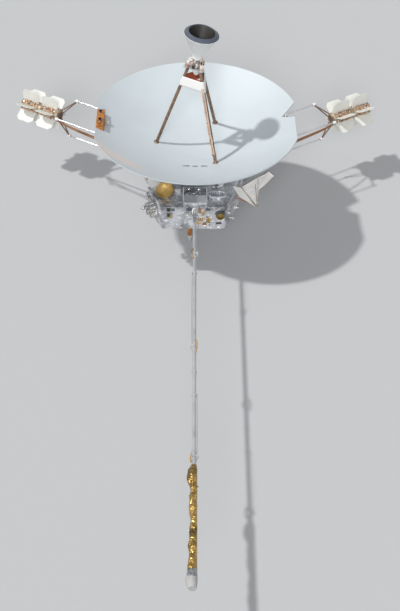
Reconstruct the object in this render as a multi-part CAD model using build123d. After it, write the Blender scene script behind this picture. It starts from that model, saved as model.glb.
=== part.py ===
"""Spin-stabilised deep-space probe: a dish antenna over a six-sided equipment compartment.

Two finned generator pairs slide out on three-rod trusses, and a boom folds in four sections.
Millimetres. +Z is the dish's axis, -Y is the deployed boom, and the origin is the centre of
the launch ring's lower face.
"""

import os
from math import cos, radians, sin, sqrt

from build123d import *

# Launch ring and its posts
RING_R = 330
RING_FLANGE = 35
RING_WEB = 6
RING_PLATE = 9
RING_HEIGHT = 60
BOLT_COUNT = 12
BOLT_HOLE_R = 4.25
POST_R = 14
POST_HEIGHT = 90

# Equipment compartment
COMPARTMENT_SIDE = 710
COMPARTMENT_DEPTH = 360
LOUVRE_R = 255
LOUVRE_HUB_R = 90
LOUVRE_DEPTH = 12
LOUVRE_COUNT = 30

# Instrument bay
BAY_MID_X = -30
BAY_FRONT_Y = -1030
BAY_FRONT_HALF = 412
BAY_SIDE_HALF = 600
BAY_SIDE_Y = -620
BAY_BACK_Y = -500

# Dish
DISH_R = 1370
DISH_BOWL = 430
DISH_WALL = 20
DISH_FLAT_R = 60
DISH_GAP = 190
CHORD_X = 1305
SLOT_Y = -530
SLOT_WIDTH = 15
SLOT_ENDS = [(-177, -87), (-37, 21), (74, 153)]
DRAIN_AT = (-680, -774)
DRAIN_R = 6
NOTCH_APEX = (1141, 234)
NOTCH_MOUTH_Y = (128, 403)
NOTCH_LEFT_X = -1200
NOTCH_LEFT_Y = (-145, 215)
HUB_R = 190
HUB_WAIST_R = 150
DISH_STRUT_R = 16
DISH_STRUT_FOOT = 660
DISH_STRUT_HEAD = 960
PANEL_COUNT = 12
PANEL_R = (1000, 1185)
PANEL_ARC = 13
PANEL_PLATE = 8

# Feed tripod, collar and horns, heights above the rim
TRIPOD_FOOT_R = 520
TRIPOD_HEAD_R = 100
TRIPOD_STRUT_R = 21
TRIPOD_PAD_R = 46
TRIPOD_PAD = 22
FEED_Z = 800
PLATFORM_R = 165
PLATFORM_PLATE = 14
COLLAR_Z = (540, 670)
COLLAR_WALL = 8
CONE_R = (72, 30)
CONE_LENGTH = 105
FEED_CORE_R = 52
FEED_CORE_HEIGHT = 100
FEED_FLANGE = 8
FEED_GUSSETS = (15, 75, 140, 200, 255, 320)
# x, y, half width, half depth, height
FEED_BOXES = [(-88, 0, 42, 48, 62), (62, -72, 40, 34, 48), (58, 76, 44, 30, 74), (-35, 66, 26, 22, 88)]
HORN_TILT = 9
HORN_NECK_R = 67
HORN_NECK = 55
HORN_MOUTH_R = 222
HORN_LENGTH = 375
HORN_WALL = 6
HORN_FOOT_X = 12

# Thrusters, heights from the rim
THRUSTER_BOX_Z = (-130, 5)
NOZZLE_SPREAD = 90
NOZZLE_LENGTH = 40
NOZZLE_THROAT_R = 10
NOZZLE_R = 22
NOZZLE_WALL = 2
NOZZLE_DEPTH = 0.65

# Outrigger
OUTRIGGER_R = 9

# Instruments on the bay: places from the dish's axis, heights from the bay's floor
RADIOMETER_AT = (-388, -780)
RADIOMETER_R = 96
RADIOMETER_DEPTH = 40
RADIOMETER_POST = 44
RADIOMETER_POST_R = 18
RADIOMETER_TILT = (22, -8)
# x ends, y ends, height
BAY_COVERS = [((-290, -195), (-720, -630), 42), ((-165, 150), (-985, -655), 38)]
HOOD_AT = (279, -795)
HOOD_RADII = (122, 68)
HOOD_HEIGHT = 34
HOOD_WALL = 10
HOOD_FLOOR = 6
BARREL_PLATE = (250, 170, 12)
BARREL_SHARE = 0.52
BARREL_Z = 165
BARREL_WALL = 6
BARREL_BORE = 30
# x, y, radius, length
BARRELS = [(-85, 30, 38, 78), (0, 42, 34, 92), (82, 30, 38, 70), (-30, -45, 32, 64), (52, -42, 30, 84)]
# share of the slanted wall, height, radius, length
RIGHT_DETECTORS = [(0.86, 76, 24, 42), (0.25, 190, 26, 40), (0.42, 50, 20, 62)]
APERTURE_AT = (322, 225)
APERTURE_R = 52
APERTURE_DEPTH = 34
APERTURE_WALL = 12

# Aft antenna
MAST_AT = (-75, -400)
MAST_R = 30
MAST_LENGTH = 640
MAST_CONE = 120
MAST_TIP_R = 7

# Generator trusses
TRUSS_Z = 400
TRUSS_STAGGER = 15
TRUSS_ROD_R = 10
TRUSS_RADIUS = 290
ROD_INSET = 25
FRAME_REACH = 142.5
GUIDE_LENGTH = 100
GUIDE_PLATE = 14
GUIDE_BUSH_R = 22
RUNNING_GAP = 0.1
GENERATOR_MID = 2545
GENERATOR_LENGTH = 280
GENERATOR_GAP = 45
GENERATOR_CORE_R = 84
FIN_TIP_R = 254
FIN_PLATE = 7
FIN_CHAMFER = 45
FIN_COUNT = 6
RIB_SHARES = (1 / 6, 1 / 2, 5 / 6)
RIB_REACH = 34
RIB_WIDTH = 20
RIB_PLATE = 12
BAND_COUNT = 4
BAND_WIDTH = 8
BAND_STEP = 3
END_CAP = 22
END_CAP_R = 70
BRACE_R = 9
ROD_CLAMP_R = 18
ROD_CLAMP = 40

# Instrument boom
BOOM_X = -9
BOOM_Z = 430
BOOM_R = 22.5
BOOM_ROOT_Y = -1090
BOOM_STUB = 769
BOOM_SECTION = 1607.5
PIVOT_OFFSET = 36
PIVOT_R = 5
EAR_R = 12
EAR_PLATE = 8
TONGUE_PLATE = 10
EAR_GAP = 1
SLEEVE_R = 28
SLEEVE = 44
SLEEVE_START = 16
PLUG_R = 18
PLUG_GAP = 2
WING = 34
CLAMP_LENGTH = 20
FOIL_R = 29
FOIL_START = 110
SENSOR = 205
SENSOR_R = 36
SEAT = 0.3

BUS_BOTTOM = RING_HEIGHT + POST_HEIGHT
BUS_TOP = BUS_BOTTOM + COMPARTMENT_DEPTH
RIM_Z = BUS_TOP + DISH_GAP + DISH_WALL + DISH_BOWL
APOTHEM = COMPARTMENT_SIDE * cos(radians(30))
GUIDE_START = APOTHEM + SEAT
ROD_START = GUIDE_START + ROD_INSET
GENERATOR_BASE = GENERATOR_MID - GENERATOR_GAP / 2 - GENERATOR_LENGTH
ROD_END = GENERATOR_BASE - FRAME_REACH
TRUSS_AZIMUTH = {"left": 150, "right": 30}
TRUSS_HEIGHT = {"left": TRUSS_Z + TRUSS_STAGGER, "right": TRUSS_Z - TRUSS_STAGGER}
ROD_PLACES = [(TRUSS_RADIUS * cos(radians(a)), TRUSS_RADIUS * sin(radians(a))) for a in (30, 150, 270)]


def save(node, shape):
    """Write one node."""
    export_step(shape, f"parts/{node}.step")


def rod(start, end, radius, bore=0):
    """Round bar or tube between two points."""
    start, end = Vector(*start), Vector(*end)
    run = end - start
    base = (Align.CENTER, Align.CENTER, Align.MIN)
    bar = Cylinder(radius, run.length, align=base)
    if bore:
        bar -= Cylinder(bore, run.length, align=base)
    return Plane(origin=start, z_dir=run) * bar


def cone(start, end, radius_start, radius_end):
    """Cone frustum between two points."""
    start, end = Vector(*start), Vector(*end)
    run = end - start
    body = Cone(radius_start, radius_end, run.length, align=(Align.CENTER, Align.CENTER, Align.MIN))
    return Plane(origin=start, z_dir=run) * body


def block(x, y, z):
    """Box from three (low, high) pairs."""
    size = [high - low for low, high in (x, y, z)]
    middle = [(high + low) / 2 for low, high in (x, y, z)]
    return Pos(*middle) * Box(*size)


def prism(points, z, height):
    """Upright prism over a closed outline."""
    outline = make_face(Polyline(*points, close=True))
    return Pos(0, 0, z) * extrude(outline, height)


def largest(shape):
    """The biggest solid of a shape that a cut has split."""
    return max(shape.solids(), key=lambda solid: solid.volume)


def along(azimuth, distance, lateral=0, z=0):
    """Point at a distance out along an azimuth, and a lateral offset to its left."""
    a = radians(azimuth)
    return (distance * cos(a) - lateral * sin(a), distance * sin(a) + lateral * cos(a), z)


def bowl_z(radius):
    """Height of the dish's front surface."""
    return RIM_Z - DISH_BOWL + DISH_BOWL * (radius / DISH_R) ** 2


def bowl_band(drop_top, drop_bottom, inner, outer, arc=360):
    """Solid of revolution between two copies of the dish curve, each dropped below the front surface.

    From an inner radius of nought it starts with a small flat at the vertex.
    """
    steps = 3
    start = inner or DISH_FLAT_R
    radii = [start + (outer - start) * k / steps for k in range(steps + 1)]

    def curve(drop, order):
        edges = []
        for a, b in zip(order, order[1:]):
            m = (a + b) / 2
            points = [(r, 0, bowl_z(r) - drop) for r in (a, m, b)]
            edges.append(Edge.make_three_point_arc(*points))
        return edges

    top = curve(drop_top, radii)
    bottom = curve(drop_bottom, radii[::-1])
    rim = [Edge.make_line(top[-1] @ 1, bottom[0] @ 0)]
    low, high = bottom[-1] @ 1, top[0] @ 0
    if inner:
        close = [Edge.make_line(low, high)]
    else:
        corners = [low, (0, 0, low.Z), (0, 0, high.Z), high]
        close = [Edge.make_line(a, b) for a, b in zip(corners, corners[1:])]
    section = Face(Wire(top + rim + bottom + close))
    return revolve(section, Axis.Z, arc)


def launch_ring():
    """Channel-section ring with the bolt circle in its lower flange."""
    inner = RING_R - RING_FLANGE
    web = RING_R - RING_FLANGE / 2
    ring = Pos(0, 0, RING_HEIGHT / 2) * (
        Cylinder(web + RING_WEB / 2, RING_HEIGHT) - Cylinder(web - RING_WEB / 2, RING_HEIGHT)
    )
    flange = Cylinder(RING_R, RING_PLATE) - Cylinder(inner, RING_PLATE)
    ring += Pos(0, 0, RING_PLATE / 2) * flange
    ring += Pos(0, 0, RING_HEIGHT - RING_PLATE / 2) * flange
    bolt_r = bolt_circle_r()
    for k in range(BOLT_COUNT):
        hole = Cylinder(BOLT_HOLE_R, 3 * RING_PLATE)
        ring -= Pos(*along((k + 0.5) * 360 / BOLT_COUNT, bolt_r)) * hole
    return ring


def bolt_circle_r():
    """Radius of the bolt circle, midway between the ring's web and its outer edge."""
    return RING_R - (RING_FLANGE - RING_WEB) / 4


def ring_posts():
    """Six posts that stand the ring off the compartment, clear of the lower rods."""
    r = RING_R - RING_FLANGE / 2
    posts = [rod(along(60 * k, r, 0, RING_HEIGHT), along(60 * k, r, 0, BUS_BOTTOM), POST_R) for k in range(6)]
    return Compound(posts)


def compartment():
    """Six-sided compartment with a round louvre recess in its floor."""
    corners = [along(60 * k, COMPARTMENT_SIDE)[:2] for k in range(6)]
    body = prism(corners, BUS_BOTTOM, COMPARTMENT_DEPTH)
    recess = Cylinder(LOUVRE_R + 5, LOUVRE_DEPTH, align=(Align.CENTER, Align.CENTER, Align.MIN))
    return body - Pos(0, 0, BUS_BOTTOM) * recess


def louvres():
    """Ring of radial vanes round a hub, flush in the compartment's floor."""
    top = BUS_BOTTOM + LOUVRE_DEPTH
    base = (Align.CENTER, Align.CENTER, Align.MAX)
    fan = Pos(0, 0, top) * Cylinder(LOUVRE_HUB_R, LOUVRE_DEPTH, align=base)
    rim = Cylinder(LOUVRE_R, LOUVRE_DEPTH, align=base) - Cylinder(LOUVRE_R - 8, LOUVRE_DEPTH, align=base)
    fan += Pos(0, 0, top) * rim
    pitch = 360 / LOUVRE_COUNT
    wide = 2 * LOUVRE_R * sin(radians(pitch / 2)) * 0.8
    narrow = 2 * LOUVRE_HUB_R * sin(radians(pitch / 2)) * 0.8
    vane = [(LOUVRE_HUB_R - 3, -narrow / 2), (LOUVRE_R - 4, -wide / 2), (LOUVRE_R - 4, wide / 2), (LOUVRE_HUB_R - 3, narrow / 2)]
    blade = prism(vane, top - LOUVRE_DEPTH / 2, 3)
    for k in range(LOUVRE_COUNT):
        fan += Rot(0, 0, k * pitch) * blade
    return fan


def bay():
    """Irregular six-sided instrument bay against the compartment's boom side."""
    m = BAY_MID_X
    half = COMPARTMENT_SIDE / 2
    slope = half / APOTHEM
    back_right = COMPARTMENT_SIDE + slope * BAY_BACK_Y
    outline = [
        (m - BAY_FRONT_HALF, BAY_FRONT_Y),
        (m + BAY_FRONT_HALF, BAY_FRONT_Y),
        (m + BAY_SIDE_HALF, BAY_SIDE_Y),
        (back_right, BAY_BACK_Y),
        (half, -APOTHEM),
        (-half, -APOTHEM),
        (-back_right, BAY_BACK_Y),
        (m - BAY_SIDE_HALF, BAY_SIDE_Y),
    ]
    return prism(outline, BUS_BOTTOM, COMPARTMENT_DEPTH)


def dish():
    """Bowl with two edge chords, a notch each side, three slots and a drain hole."""
    body = bowl_band(0, DISH_WALL, 0, DISH_R)
    high = (RIM_Z - DISH_BOWL - 100, RIM_Z + 100)
    for side in (-1, 1):
        outside = sorted((side * CHORD_X, side * (DISH_R + 50)))
        body -= block(outside, (-DISH_R, DISH_R), high)
    apex = Vector(*NOTCH_APEX)
    mouth = [apex + (Vector(CHORD_X, y) - apex) * 1.3 for y in NOTCH_MOUTH_Y]
    body -= prism([(p.X, p.Y) for p in (mouth[0], apex, mouth[1])], high[0], high[1] - high[0])
    body -= block((-DISH_R, NOTCH_LEFT_X), NOTCH_LEFT_Y, high)
    for low, end in SLOT_ENDS:
        body -= block((low, end), (SLOT_Y - SLOT_WIDTH / 2, SLOT_Y + SLOT_WIDTH / 2), high)
    body -= Pos(*DRAIN_AT, bowl_z(1000)) * Cylinder(DRAIN_R, 300)
    return body


def dish_hub():
    """Waisted cone between the compartment's lid and the dish's back, trimmed to the bowl."""
    mid = BUS_TOP + DISH_GAP / 2
    end = BUS_TOP + DISH_GAP + DISH_WALL
    hub = cone((0, 0, BUS_TOP), (0, 0, mid), HUB_R, HUB_WAIST_R) + cone((0, 0, mid), (0, 0, end), HUB_WAIST_R, HUB_R)
    return hub - bowl_band(DISH_WALL, -200, 0, HUB_R + 100)


def dish_struts():
    """Six raked struts from the compartment's corners to the dish's back."""
    cutter = bowl_band(DISH_WALL, -200, 0, DISH_R)
    floor = block((-DISH_R, DISH_R), (-DISH_R, DISH_R), (0, BUS_TOP))
    struts = []
    for k in range(6):
        head_z = bowl_z(DISH_STRUT_HEAD) - DISH_WALL
        foot = Vector(*along(60 * k, DISH_STRUT_FOOT, 0, BUS_TOP))
        head = Vector(*along(60 * k, DISH_STRUT_HEAD, 0, head_z))
        lean = (head - foot).normalized() * (2 * DISH_STRUT_R)
        strut = rod(foot - lean, head + lean, DISH_STRUT_R)
        pad = rod(foot, foot + Vector(0, 0, 10), 2 * DISH_STRUT_R)
        struts.append(strut + pad - cutter - floor)
    return Compound([s.solid() for s in struts])


def detector_panels():
    """Twelve curved panels on the dish's back."""
    inner, outer = PANEL_R
    drop = DISH_WALL + SEAT
    panel = bowl_band(drop, drop + PANEL_PLATE, inner, outer, PANEL_ARC)
    pitch = 360 / PANEL_COUNT
    turns = [Rot(0, 0, k * pitch - PANEL_ARC / 2) for k in range(PANEL_COUNT)]
    return Compound([(turn * panel).solid() for turn in turns])


def tripod_strut(azimuth, bowl):
    """One feed strut with its pad, trimmed to the dish and the platform's underside."""
    foot = Vector(*along(azimuth, TRIPOD_FOOT_R, 0, bowl_z(TRIPOD_FOOT_R)))
    head = Vector(*along(azimuth, TRIPOD_HEAD_R, 0, RIM_Z + FEED_Z))
    lean = (head - foot).normalized()
    strut = rod(foot - lean * 60, head + lean * 60, TRIPOD_STRUT_R)
    pad = rod(foot - lean * 40, foot + lean * TRIPOD_PAD, TRIPOD_PAD_R)
    top = RIM_Z + FEED_Z
    lid = block((-300, 300), (-300, 300), (top, top + 200))
    return largest(strut + pad - bowl - lid)


def strut_radius_at(z):
    """Distance of a tripod strut's axis from the dish's axis at a height."""
    foot_z = bowl_z(TRIPOD_FOOT_R)
    share = (z - foot_z) / (RIM_Z + FEED_Z - foot_z)
    return TRIPOD_FOOT_R + (TRIPOD_HEAD_R - TRIPOD_FOOT_R) * share


TRIPOD_AZIMUTHS = {"left": 180, "near": -60, "far": 60}


def feed_collar():
    """Three panels, each in the plane of two struts and cut to seat on them."""
    heights = [RIM_Z + z for z in COLLAR_Z]
    azimuths = list(TRIPOD_AZIMUTHS.values())
    panels = []
    for a, b in zip(azimuths, azimuths[1:] + azimuths[:1]):
        low, high = ([along(side, strut_radius_at(z), 0, z) for side in (a, b)] for z in heights)
        panel = extrude(Face(Wire.make_polygon([*low, *high[::-1]], close=True)), COLLAR_WALL / 2, both=True)
        for side in (a, b):
            foot = along(side, TRIPOD_FOOT_R, 0, bowl_z(TRIPOD_FOOT_R))
            head = along(side, TRIPOD_HEAD_R, 0, RIM_Z + FEED_Z)
            panel -= rod(foot, head, TRIPOD_STRUT_R + SEAT)
        panels.append(largest(panel))
    return Compound(panels)


def feed_platform():
    """Three-cornered plate on the struts' heads."""
    corners = [along(a + turn, PLATFORM_R)[:2] for a in (-60, 60, 180) for turn in (-22, 22)]
    return prism(corners, RIM_Z + FEED_Z, PLATFORM_PLATE)


def feed_cone():
    """Feed horn hanging under the platform, facing the dish."""
    top = RIM_Z + FEED_Z
    big, small = CONE_R
    return cone((0, 0, top), (0, 0, top - CONE_LENGTH), big, small)


def feed_electronics():
    """Flanged core tube and the boxes round it on the platform."""
    z = RIM_Z + FEED_Z + PLATFORM_PLATE
    top = z + FEED_CORE_HEIGHT
    core = rod((0, 0, z), (0, 0, top), FEED_CORE_R)
    core += rod((0, 0, top - FEED_FLANGE), (0, 0, top), FEED_CORE_R + FEED_FLANGE)
    for x, y, half_x, half_y, height in FEED_BOXES:
        core += block((x - half_x, x + half_x), (y - half_y, y + half_y), (z, z + height))
    for azimuth in FEED_GUSSETS:
        reach = FEED_CORE_R + FEED_FLANGE
        web = block((0, reach), (-FEED_FLANGE / 2, FEED_FLANGE / 2), (top - 4 * FEED_FLANGE, top))
        core += Rot(0, 0, azimuth) * web
    return core


def horn_frame():
    """Plane at the foot of the tilted horn."""
    z = RIM_Z + FEED_Z + PLATFORM_PLATE + FEED_CORE_HEIGHT + 22
    tilt = radians(HORN_TILT)
    return Plane(origin=(HORN_FOOT_X, 0, z), x_dir=(cos(tilt), 0, -sin(tilt)), z_dir=(sin(tilt), 0, cos(tilt)))


def gain_horn():
    """Flared horn with a cylindrical neck and a rolled lip, open at the mouth."""
    w = HORN_WALL
    outer = [(0, 0), (HORN_NECK_R, 0), (HORN_NECK_R, HORN_NECK), (HORN_MOUTH_R, HORN_LENGTH), (HORN_MOUTH_R - w, HORN_LENGTH)]
    inner = [(HORN_NECK_R - w, HORN_NECK + 3), (HORN_NECK_R - w, w), (0, w)]
    section = make_face(Polyline(*outer, *inner, close=True))
    shell = revolve(Plane.XZ * section, Axis.Z, 360)
    lip = Pos(0, 0, HORN_LENGTH - 4) * (Cylinder(HORN_MOUTH_R + 4, 8) - Cylinder(HORN_MOUTH_R - w / 2, 8))
    return horn_frame() * (shell + lip)


def horn_seat():
    """Wedge-shaped seat between the feed core and the tilted horn."""
    z = RIM_Z + FEED_Z + PLATFORM_PLATE + FEED_CORE_HEIGHT
    post = rod((HORN_FOOT_X, 0, z), (HORN_FOOT_X, 0, z + 60), FEED_CORE_R - 6)
    above = horn_frame() * Pos(0, 0, 100) * Box(400, 400, 200)
    return post - above


def nozzle(x, y, z, reach):
    """Thin bell along z from its throat, open at its mouth."""
    w = NOZZLE_WALL
    depth = reach * NOZZLE_DEPTH
    bell = cone((x, y, z), (x, y, z + reach), NOZZLE_THROAT_R, NOZZLE_R)
    return bell - cone((x, y, z + reach - depth), (x, y, z + reach), NOZZLE_THROAT_R - w, NOZZLE_R - w)


def thruster_box():
    """Foil-wrapped thruster box in the left notch, with two nozzles up and two down."""
    low, high = NOTCH_LEFT_Y
    mid = (low + high) / 2
    x = (-CHORD_X, NOTCH_LEFT_X - SEAT)
    bottom, top = (RIM_Z + z for z in THRUSTER_BOX_Z)
    body = block(x, (low + SEAT, high - SEAT), (bottom, top))
    cx = (x[0] + x[1]) / 2
    for y in (mid - NOZZLE_SPREAD, mid + NOZZLE_SPREAD):
        body += nozzle(cx, y, top, NOZZLE_LENGTH) + nozzle(cx, y, bottom, -NOZZLE_LENGTH)
    return body


def thruster_pair(bowl):
    """Bare thruster pair in the right notch on its bracket under the dish."""
    x, y = NOTCH_APEX[0] + 55, NOTCH_APEX[1]
    back = bowl_z(NOTCH_APEX[0] - 60) - DISH_WALL
    arm = block((x - 190, x + 20), (y - 20, y + 20), (back - 70, back + 10))
    arm -= bowl_band(DISH_WALL, -300, 0, DISH_R)
    valve = block((x - 30, x + 30), (y - 28, y + 28), (back - 55, back + 60))
    arm = arm + valve - bowl
    return arm + nozzle(x, y, back + 60, NOZZLE_LENGTH) + nozzle(x, y, back - 55, -NOZZLE_LENGTH)


def sun_sensor(bowl):
    """Round sensor head on the dish's face by the left notch."""
    x, y = -1160, 40
    z = bowl_z(sqrt(x * x + y * y))
    head = rod((x, y, z - 30), (x, y, z + 34), 27) + rod((x, y, z + 34), (x, y, z + 46), 18)
    return largest(head - bowl)


def aft_antenna():
    """Mast under the compartment's floor, and its cone."""
    x, y = MAST_AT
    low = BUS_BOTTOM - MAST_LENGTH
    mast = rod((x, y, BUS_BOTTOM), (x, y, low), MAST_R)
    mast += rod((x, y, BUS_BOTTOM), (x, y, BUS_BOTTOM - 12), 2 * MAST_R)
    tip = cone((x, y, low), (x, y, low - MAST_CONE), MAST_R + 4, MAST_TIP_R)
    return mast, tip


def truss_frame(side):
    """Plane with its z axis out along a truss and its y axis up."""
    a = radians(TRUSS_AZIMUTH[side])
    out = Vector(cos(a), sin(a), 0)
    return Plane(origin=(0, 0, TRUSS_HEIGHT[side]), x_dir=(-out.Y, out.X, 0), z_dir=out)


def truss_rods():
    """Three rods in the truss's own frame."""
    return Compound([rod((x, y, ROD_START), (x, y, ROD_END), TRUSS_ROD_R) for x, y in ROD_PLACES])


def rod_guide():
    """Plate on the compartment's wall with a bush for each rod."""
    plate = [(x * 0.98, y) for x, y in ROD_PLACES]
    guide = Pos(0, 0, GUIDE_START) * extrude(make_face(Polyline(*plate, close=True)), GUIDE_PLATE)
    window = [(x * 0.55, y * 0.55) for x, y in ROD_PLACES]
    guide -= Pos(0, 0, GUIDE_START) * extrude(make_face(Polyline(*window, close=True)), GUIDE_PLATE)
    for x, y in ROD_PLACES:
        guide += rod((x, y, GUIDE_START), (x, y, GUIDE_START + GUIDE_LENGTH), GUIDE_BUSH_R)
    for x, y in ROD_PLACES:
        guide -= rod((x, y, 0), (x, y, ROD_END), TRUSS_ROD_R + RUNNING_GAP)
    return guide


def generator(start, spool=0):
    """Banded core with six chamfered and ribbed fins, and a spool that carries the next generator."""
    end = start + GENERATOR_LENGTH
    core = rod((0, 0, start), (0, 0, end), GENERATOR_CORE_R)
    for k in range(BAND_COUNT):
        at = start + GENERATOR_LENGTH * (k + 0.5) / BAND_COUNT
        core += rod((0, 0, at - BAND_WIDTH / 2), (0, 0, at + BAND_WIDTH / 2), GENERATOR_CORE_R + BAND_STEP)
    if spool:
        core += rod((0, 0, end), (0, 0, end + spool), END_CAP_R)
    c = FIN_CHAMFER
    fin = [
        (0, start + 6),
        (FIN_TIP_R - c, start + 6),
        (FIN_TIP_R, start + 6 + c),
        (FIN_TIP_R, end - 6 - c),
        (FIN_TIP_R - c, end - 6),
        (0, end - 6),
    ]
    plate = Plane.XZ * make_face(Polyline(*fin, close=True))
    blade = extrude(plate, FIN_PLATE / 2, both=True)
    for share in RIB_SHARES:
        rib_z = start + GENERATOR_LENGTH * share
        reach = (GENERATOR_CORE_R - RIB_PLATE, GENERATOR_CORE_R + RIB_REACH)
        blade += block(reach, (-RIB_WIDTH / 2, RIB_WIDTH / 2), (rib_z - RIB_PLATE / 2, rib_z + RIB_PLATE / 2))
    for k in range(FIN_COUNT):
        core += Rot(0, 0, 30 + k * 360 / FIN_COUNT) * blade
    return core


def end_frame():
    """Clamps on the rods' outer ends braced to the inner generator's base."""
    base = GENERATOR_BASE
    frame = rod((0, 0, base - END_CAP), (0, 0, base), END_CAP_R)
    for x, y in ROD_PLACES:
        frame += rod((x, y, ROD_END - ROD_CLAMP), (x, y, ROD_END + 8), ROD_CLAMP_R)
        a = Vector(x, y, ROD_END - ROD_CLAMP / 2)
        side = Vector(-y, x, 0).normalized() * 40
        inward = Vector(x, y, 0).normalized() * 45
        for turn in (-1, 1):
            foot = inward + side * turn
            frame += rod(tuple(a), (foot.X, foot.Y, base - END_CAP / 2), BRACE_R)
    for x, y in ROD_PLACES:
        frame -= rod((x, y, 0), (x, y, ROD_END), TRUSS_ROD_R)
    return frame


def plan(points, z, height):
    """Upright plate over plan points, centred on a height."""
    return prism(points, z - height / 2, height)


def hinge_ear(pivot_x, pivot_y, side, toward, z, height):
    """Plan plate from the boom's sleeve to the pivot, rounded about the pin."""
    inner = pivot_x - side * (PIVOT_OFFSET - 13)
    reach = pivot_y + toward * 40
    arm = plan([(inner, pivot_y), (pivot_x, pivot_y), (pivot_x, reach), (inner, reach)], z, height)
    return arm + Pos(pivot_x, pivot_y, z) * Cylinder(EAR_R, height)


def hinge_half(y, side, toward, fork):
    """Sleeve, plug and ears of one half of a boom hinge. Its tube lies toward +1 (bus) or -1 (tip)."""
    pivot_x = BOOM_X + side * PIVOT_OFFSET
    start = y + toward * SLEEVE_START
    half = rod((BOOM_X, start, BOOM_Z), (BOOM_X, start + toward * SLEEVE, BOOM_Z), SLEEVE_R)
    half += rod((BOOM_X, y + toward * PLUG_GAP, BOOM_Z), (BOOM_X, start, BOOM_Z), PLUG_R)
    if fork:
        lift = TONGUE_PLATE / 2 + EAR_GAP + EAR_PLATE / 2
        for up in (-1, 1):
            half += hinge_ear(pivot_x, y, side, toward, BOOM_Z + up * lift, EAR_PLATE)
        half += Pos(pivot_x, y, BOOM_Z) * Cylinder(PIVOT_R, 2 * lift + 2 * EAR_PLATE)
    else:
        half += hinge_ear(pivot_x, y, side, toward, BOOM_Z, TONGUE_PLATE)
        half -= Pos(pivot_x, y, BOOM_Z) * Cylinder(PIVOT_R + RUNNING_GAP, 3 * TONGUE_PLATE)
    return half


def winged_clamp(y):
    """Band round the boom with a flat wing each side."""
    band = rod((BOOM_X, y - CLAMP_LENGTH / 2, BOOM_Z), (BOOM_X, y + CLAMP_LENGTH / 2, BOOM_Z), SLEEVE_R)
    wing = block((BOOM_X - WING, BOOM_X + WING), (y - 8, y + 8), (BOOM_Z - 3, BOOM_Z + 3))
    return band + wing


HINGE_YS = [BOOM_ROOT_Y] + [BOOM_ROOT_Y - BOOM_STUB - k * BOOM_SECTION for k in range(3)]
TIP_Y = HINGE_YS[-1] - BOOM_SECTION
HINGE_SIDES = [-1, 1, -1, 1]
WINGED_YS = [[], [HINGE_YS[1] - 354], [HINGE_YS[2] - 384.5, HINGE_YS[2] - 739.5], []]


def boom_section(index):
    """One boom section: tube, a tongue at its inboard end and a fork at its outboard end."""
    y_in = HINGE_YS[index]
    last = index == len(HINGE_YS) - 1
    y_out = TIP_Y + SENSOR if last else HINGE_YS[index + 1]
    trim = 0 if last else SLEEVE_START
    tube = rod((BOOM_X, y_in - SLEEVE_START, BOOM_Z), (BOOM_X, y_out + trim, BOOM_Z), BOOM_R)
    tube += hinge_half(y_in, HINGE_SIDES[index], -1, fork=False)
    if not last:
        tube += hinge_half(y_out, HINGE_SIDES[index + 1], 1, fork=True)
    for y in WINGED_YS[index]:
        tube += winged_clamp(y)
    return tube


def boom_root_bracket():
    """Base plate on the bay's front with the root hinge's fork and the stub's seat."""
    pivot_x = BOOM_X - PIVOT_OFFSET
    plate = block((pivot_x - 40, BOOM_X + 45), (BAY_FRONT_Y - 10, BAY_FRONT_Y), (BOOM_Z - 50, BOOM_Z + 50))
    plate += rod((BOOM_X, BAY_FRONT_Y - 10, BOOM_Z), (BOOM_X, BOOM_ROOT_Y + PLUG_GAP, BOOM_Z), PLUG_R)
    lift = TONGUE_PLATE / 2 + EAR_GAP + EAR_PLATE / 2
    for up in (-1, 1):
        z = BOOM_Z + up * lift
        x = (pivot_x - EAR_R, pivot_x + EAR_R)
        plate += block(x, (BOOM_ROOT_Y, BAY_FRONT_Y - 10), (z - EAR_PLATE / 2, z + EAR_PLATE / 2))
        plate += Pos(pivot_x, BOOM_ROOT_Y, z) * Cylinder(EAR_R, EAR_PLATE)
    plate += Pos(pivot_x, BOOM_ROOT_Y, BOOM_Z) * Cylinder(PIVOT_R, 2 * lift + 2 * EAR_PLATE)
    return plate


def foil_sleeve():
    """Film wrap round the outer section."""
    start = HINGE_YS[-1] - FOIL_START
    end = TIP_Y + SENSOR
    return rod((BOOM_X, start, BOOM_Z), (BOOM_X, end, BOOM_Z), FOIL_R, BOOM_R + SEAT)


def sensor_head():
    """Field sensor's housing on the boom's tip."""
    start = TIP_Y + SENSOR
    body = cone((BOOM_X, start, BOOM_Z), (BOOM_X, start - 60, BOOM_Z), FOIL_R - 4, SENSOR_R - 4)
    body += rod((BOOM_X, start - 60, BOOM_Z), (BOOM_X, TIP_Y, BOOM_Z), SENSOR_R - 4)
    return body + rod((BOOM_X, TIP_Y + 26, BOOM_Z), (BOOM_X, TIP_Y + 10, BOOM_Z), SENSOR_R)


def bowl_radiometer():
    """Shallow gold bowl on a post on the bay's lid."""
    r, depth = RADIOMETER_R, RADIOMETER_DEPTH
    floor_r = r / 4
    outer = [(0, 0), (floor_r, 0), (r * 0.65, 12), (r, depth), (r - 4, depth), (r * 0.62, 17), (floor_r, 5), (0, 5)]
    bowl = revolve(Plane.XZ * make_face(Polyline(*outer, close=True)), Axis.Z, 360)
    bowl += Pos(0, 0, -2) * Cylinder(26, 16)
    top = (*RADIOMETER_AT, BUS_TOP + RADIOMETER_POST)
    tilted = Pos(*top) * Rot(*RADIOMETER_TILT, 0) * bowl
    return tilted + rod((*RADIOMETER_AT, BUS_TOP), top, RADIOMETER_POST_R)


def bay_covers():
    """Raised box and film-covered hump on the bay's lid."""
    return Compound([block(x, y, (BUS_TOP, BUS_TOP + height)) for x, y, height in BAY_COVERS])


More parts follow.
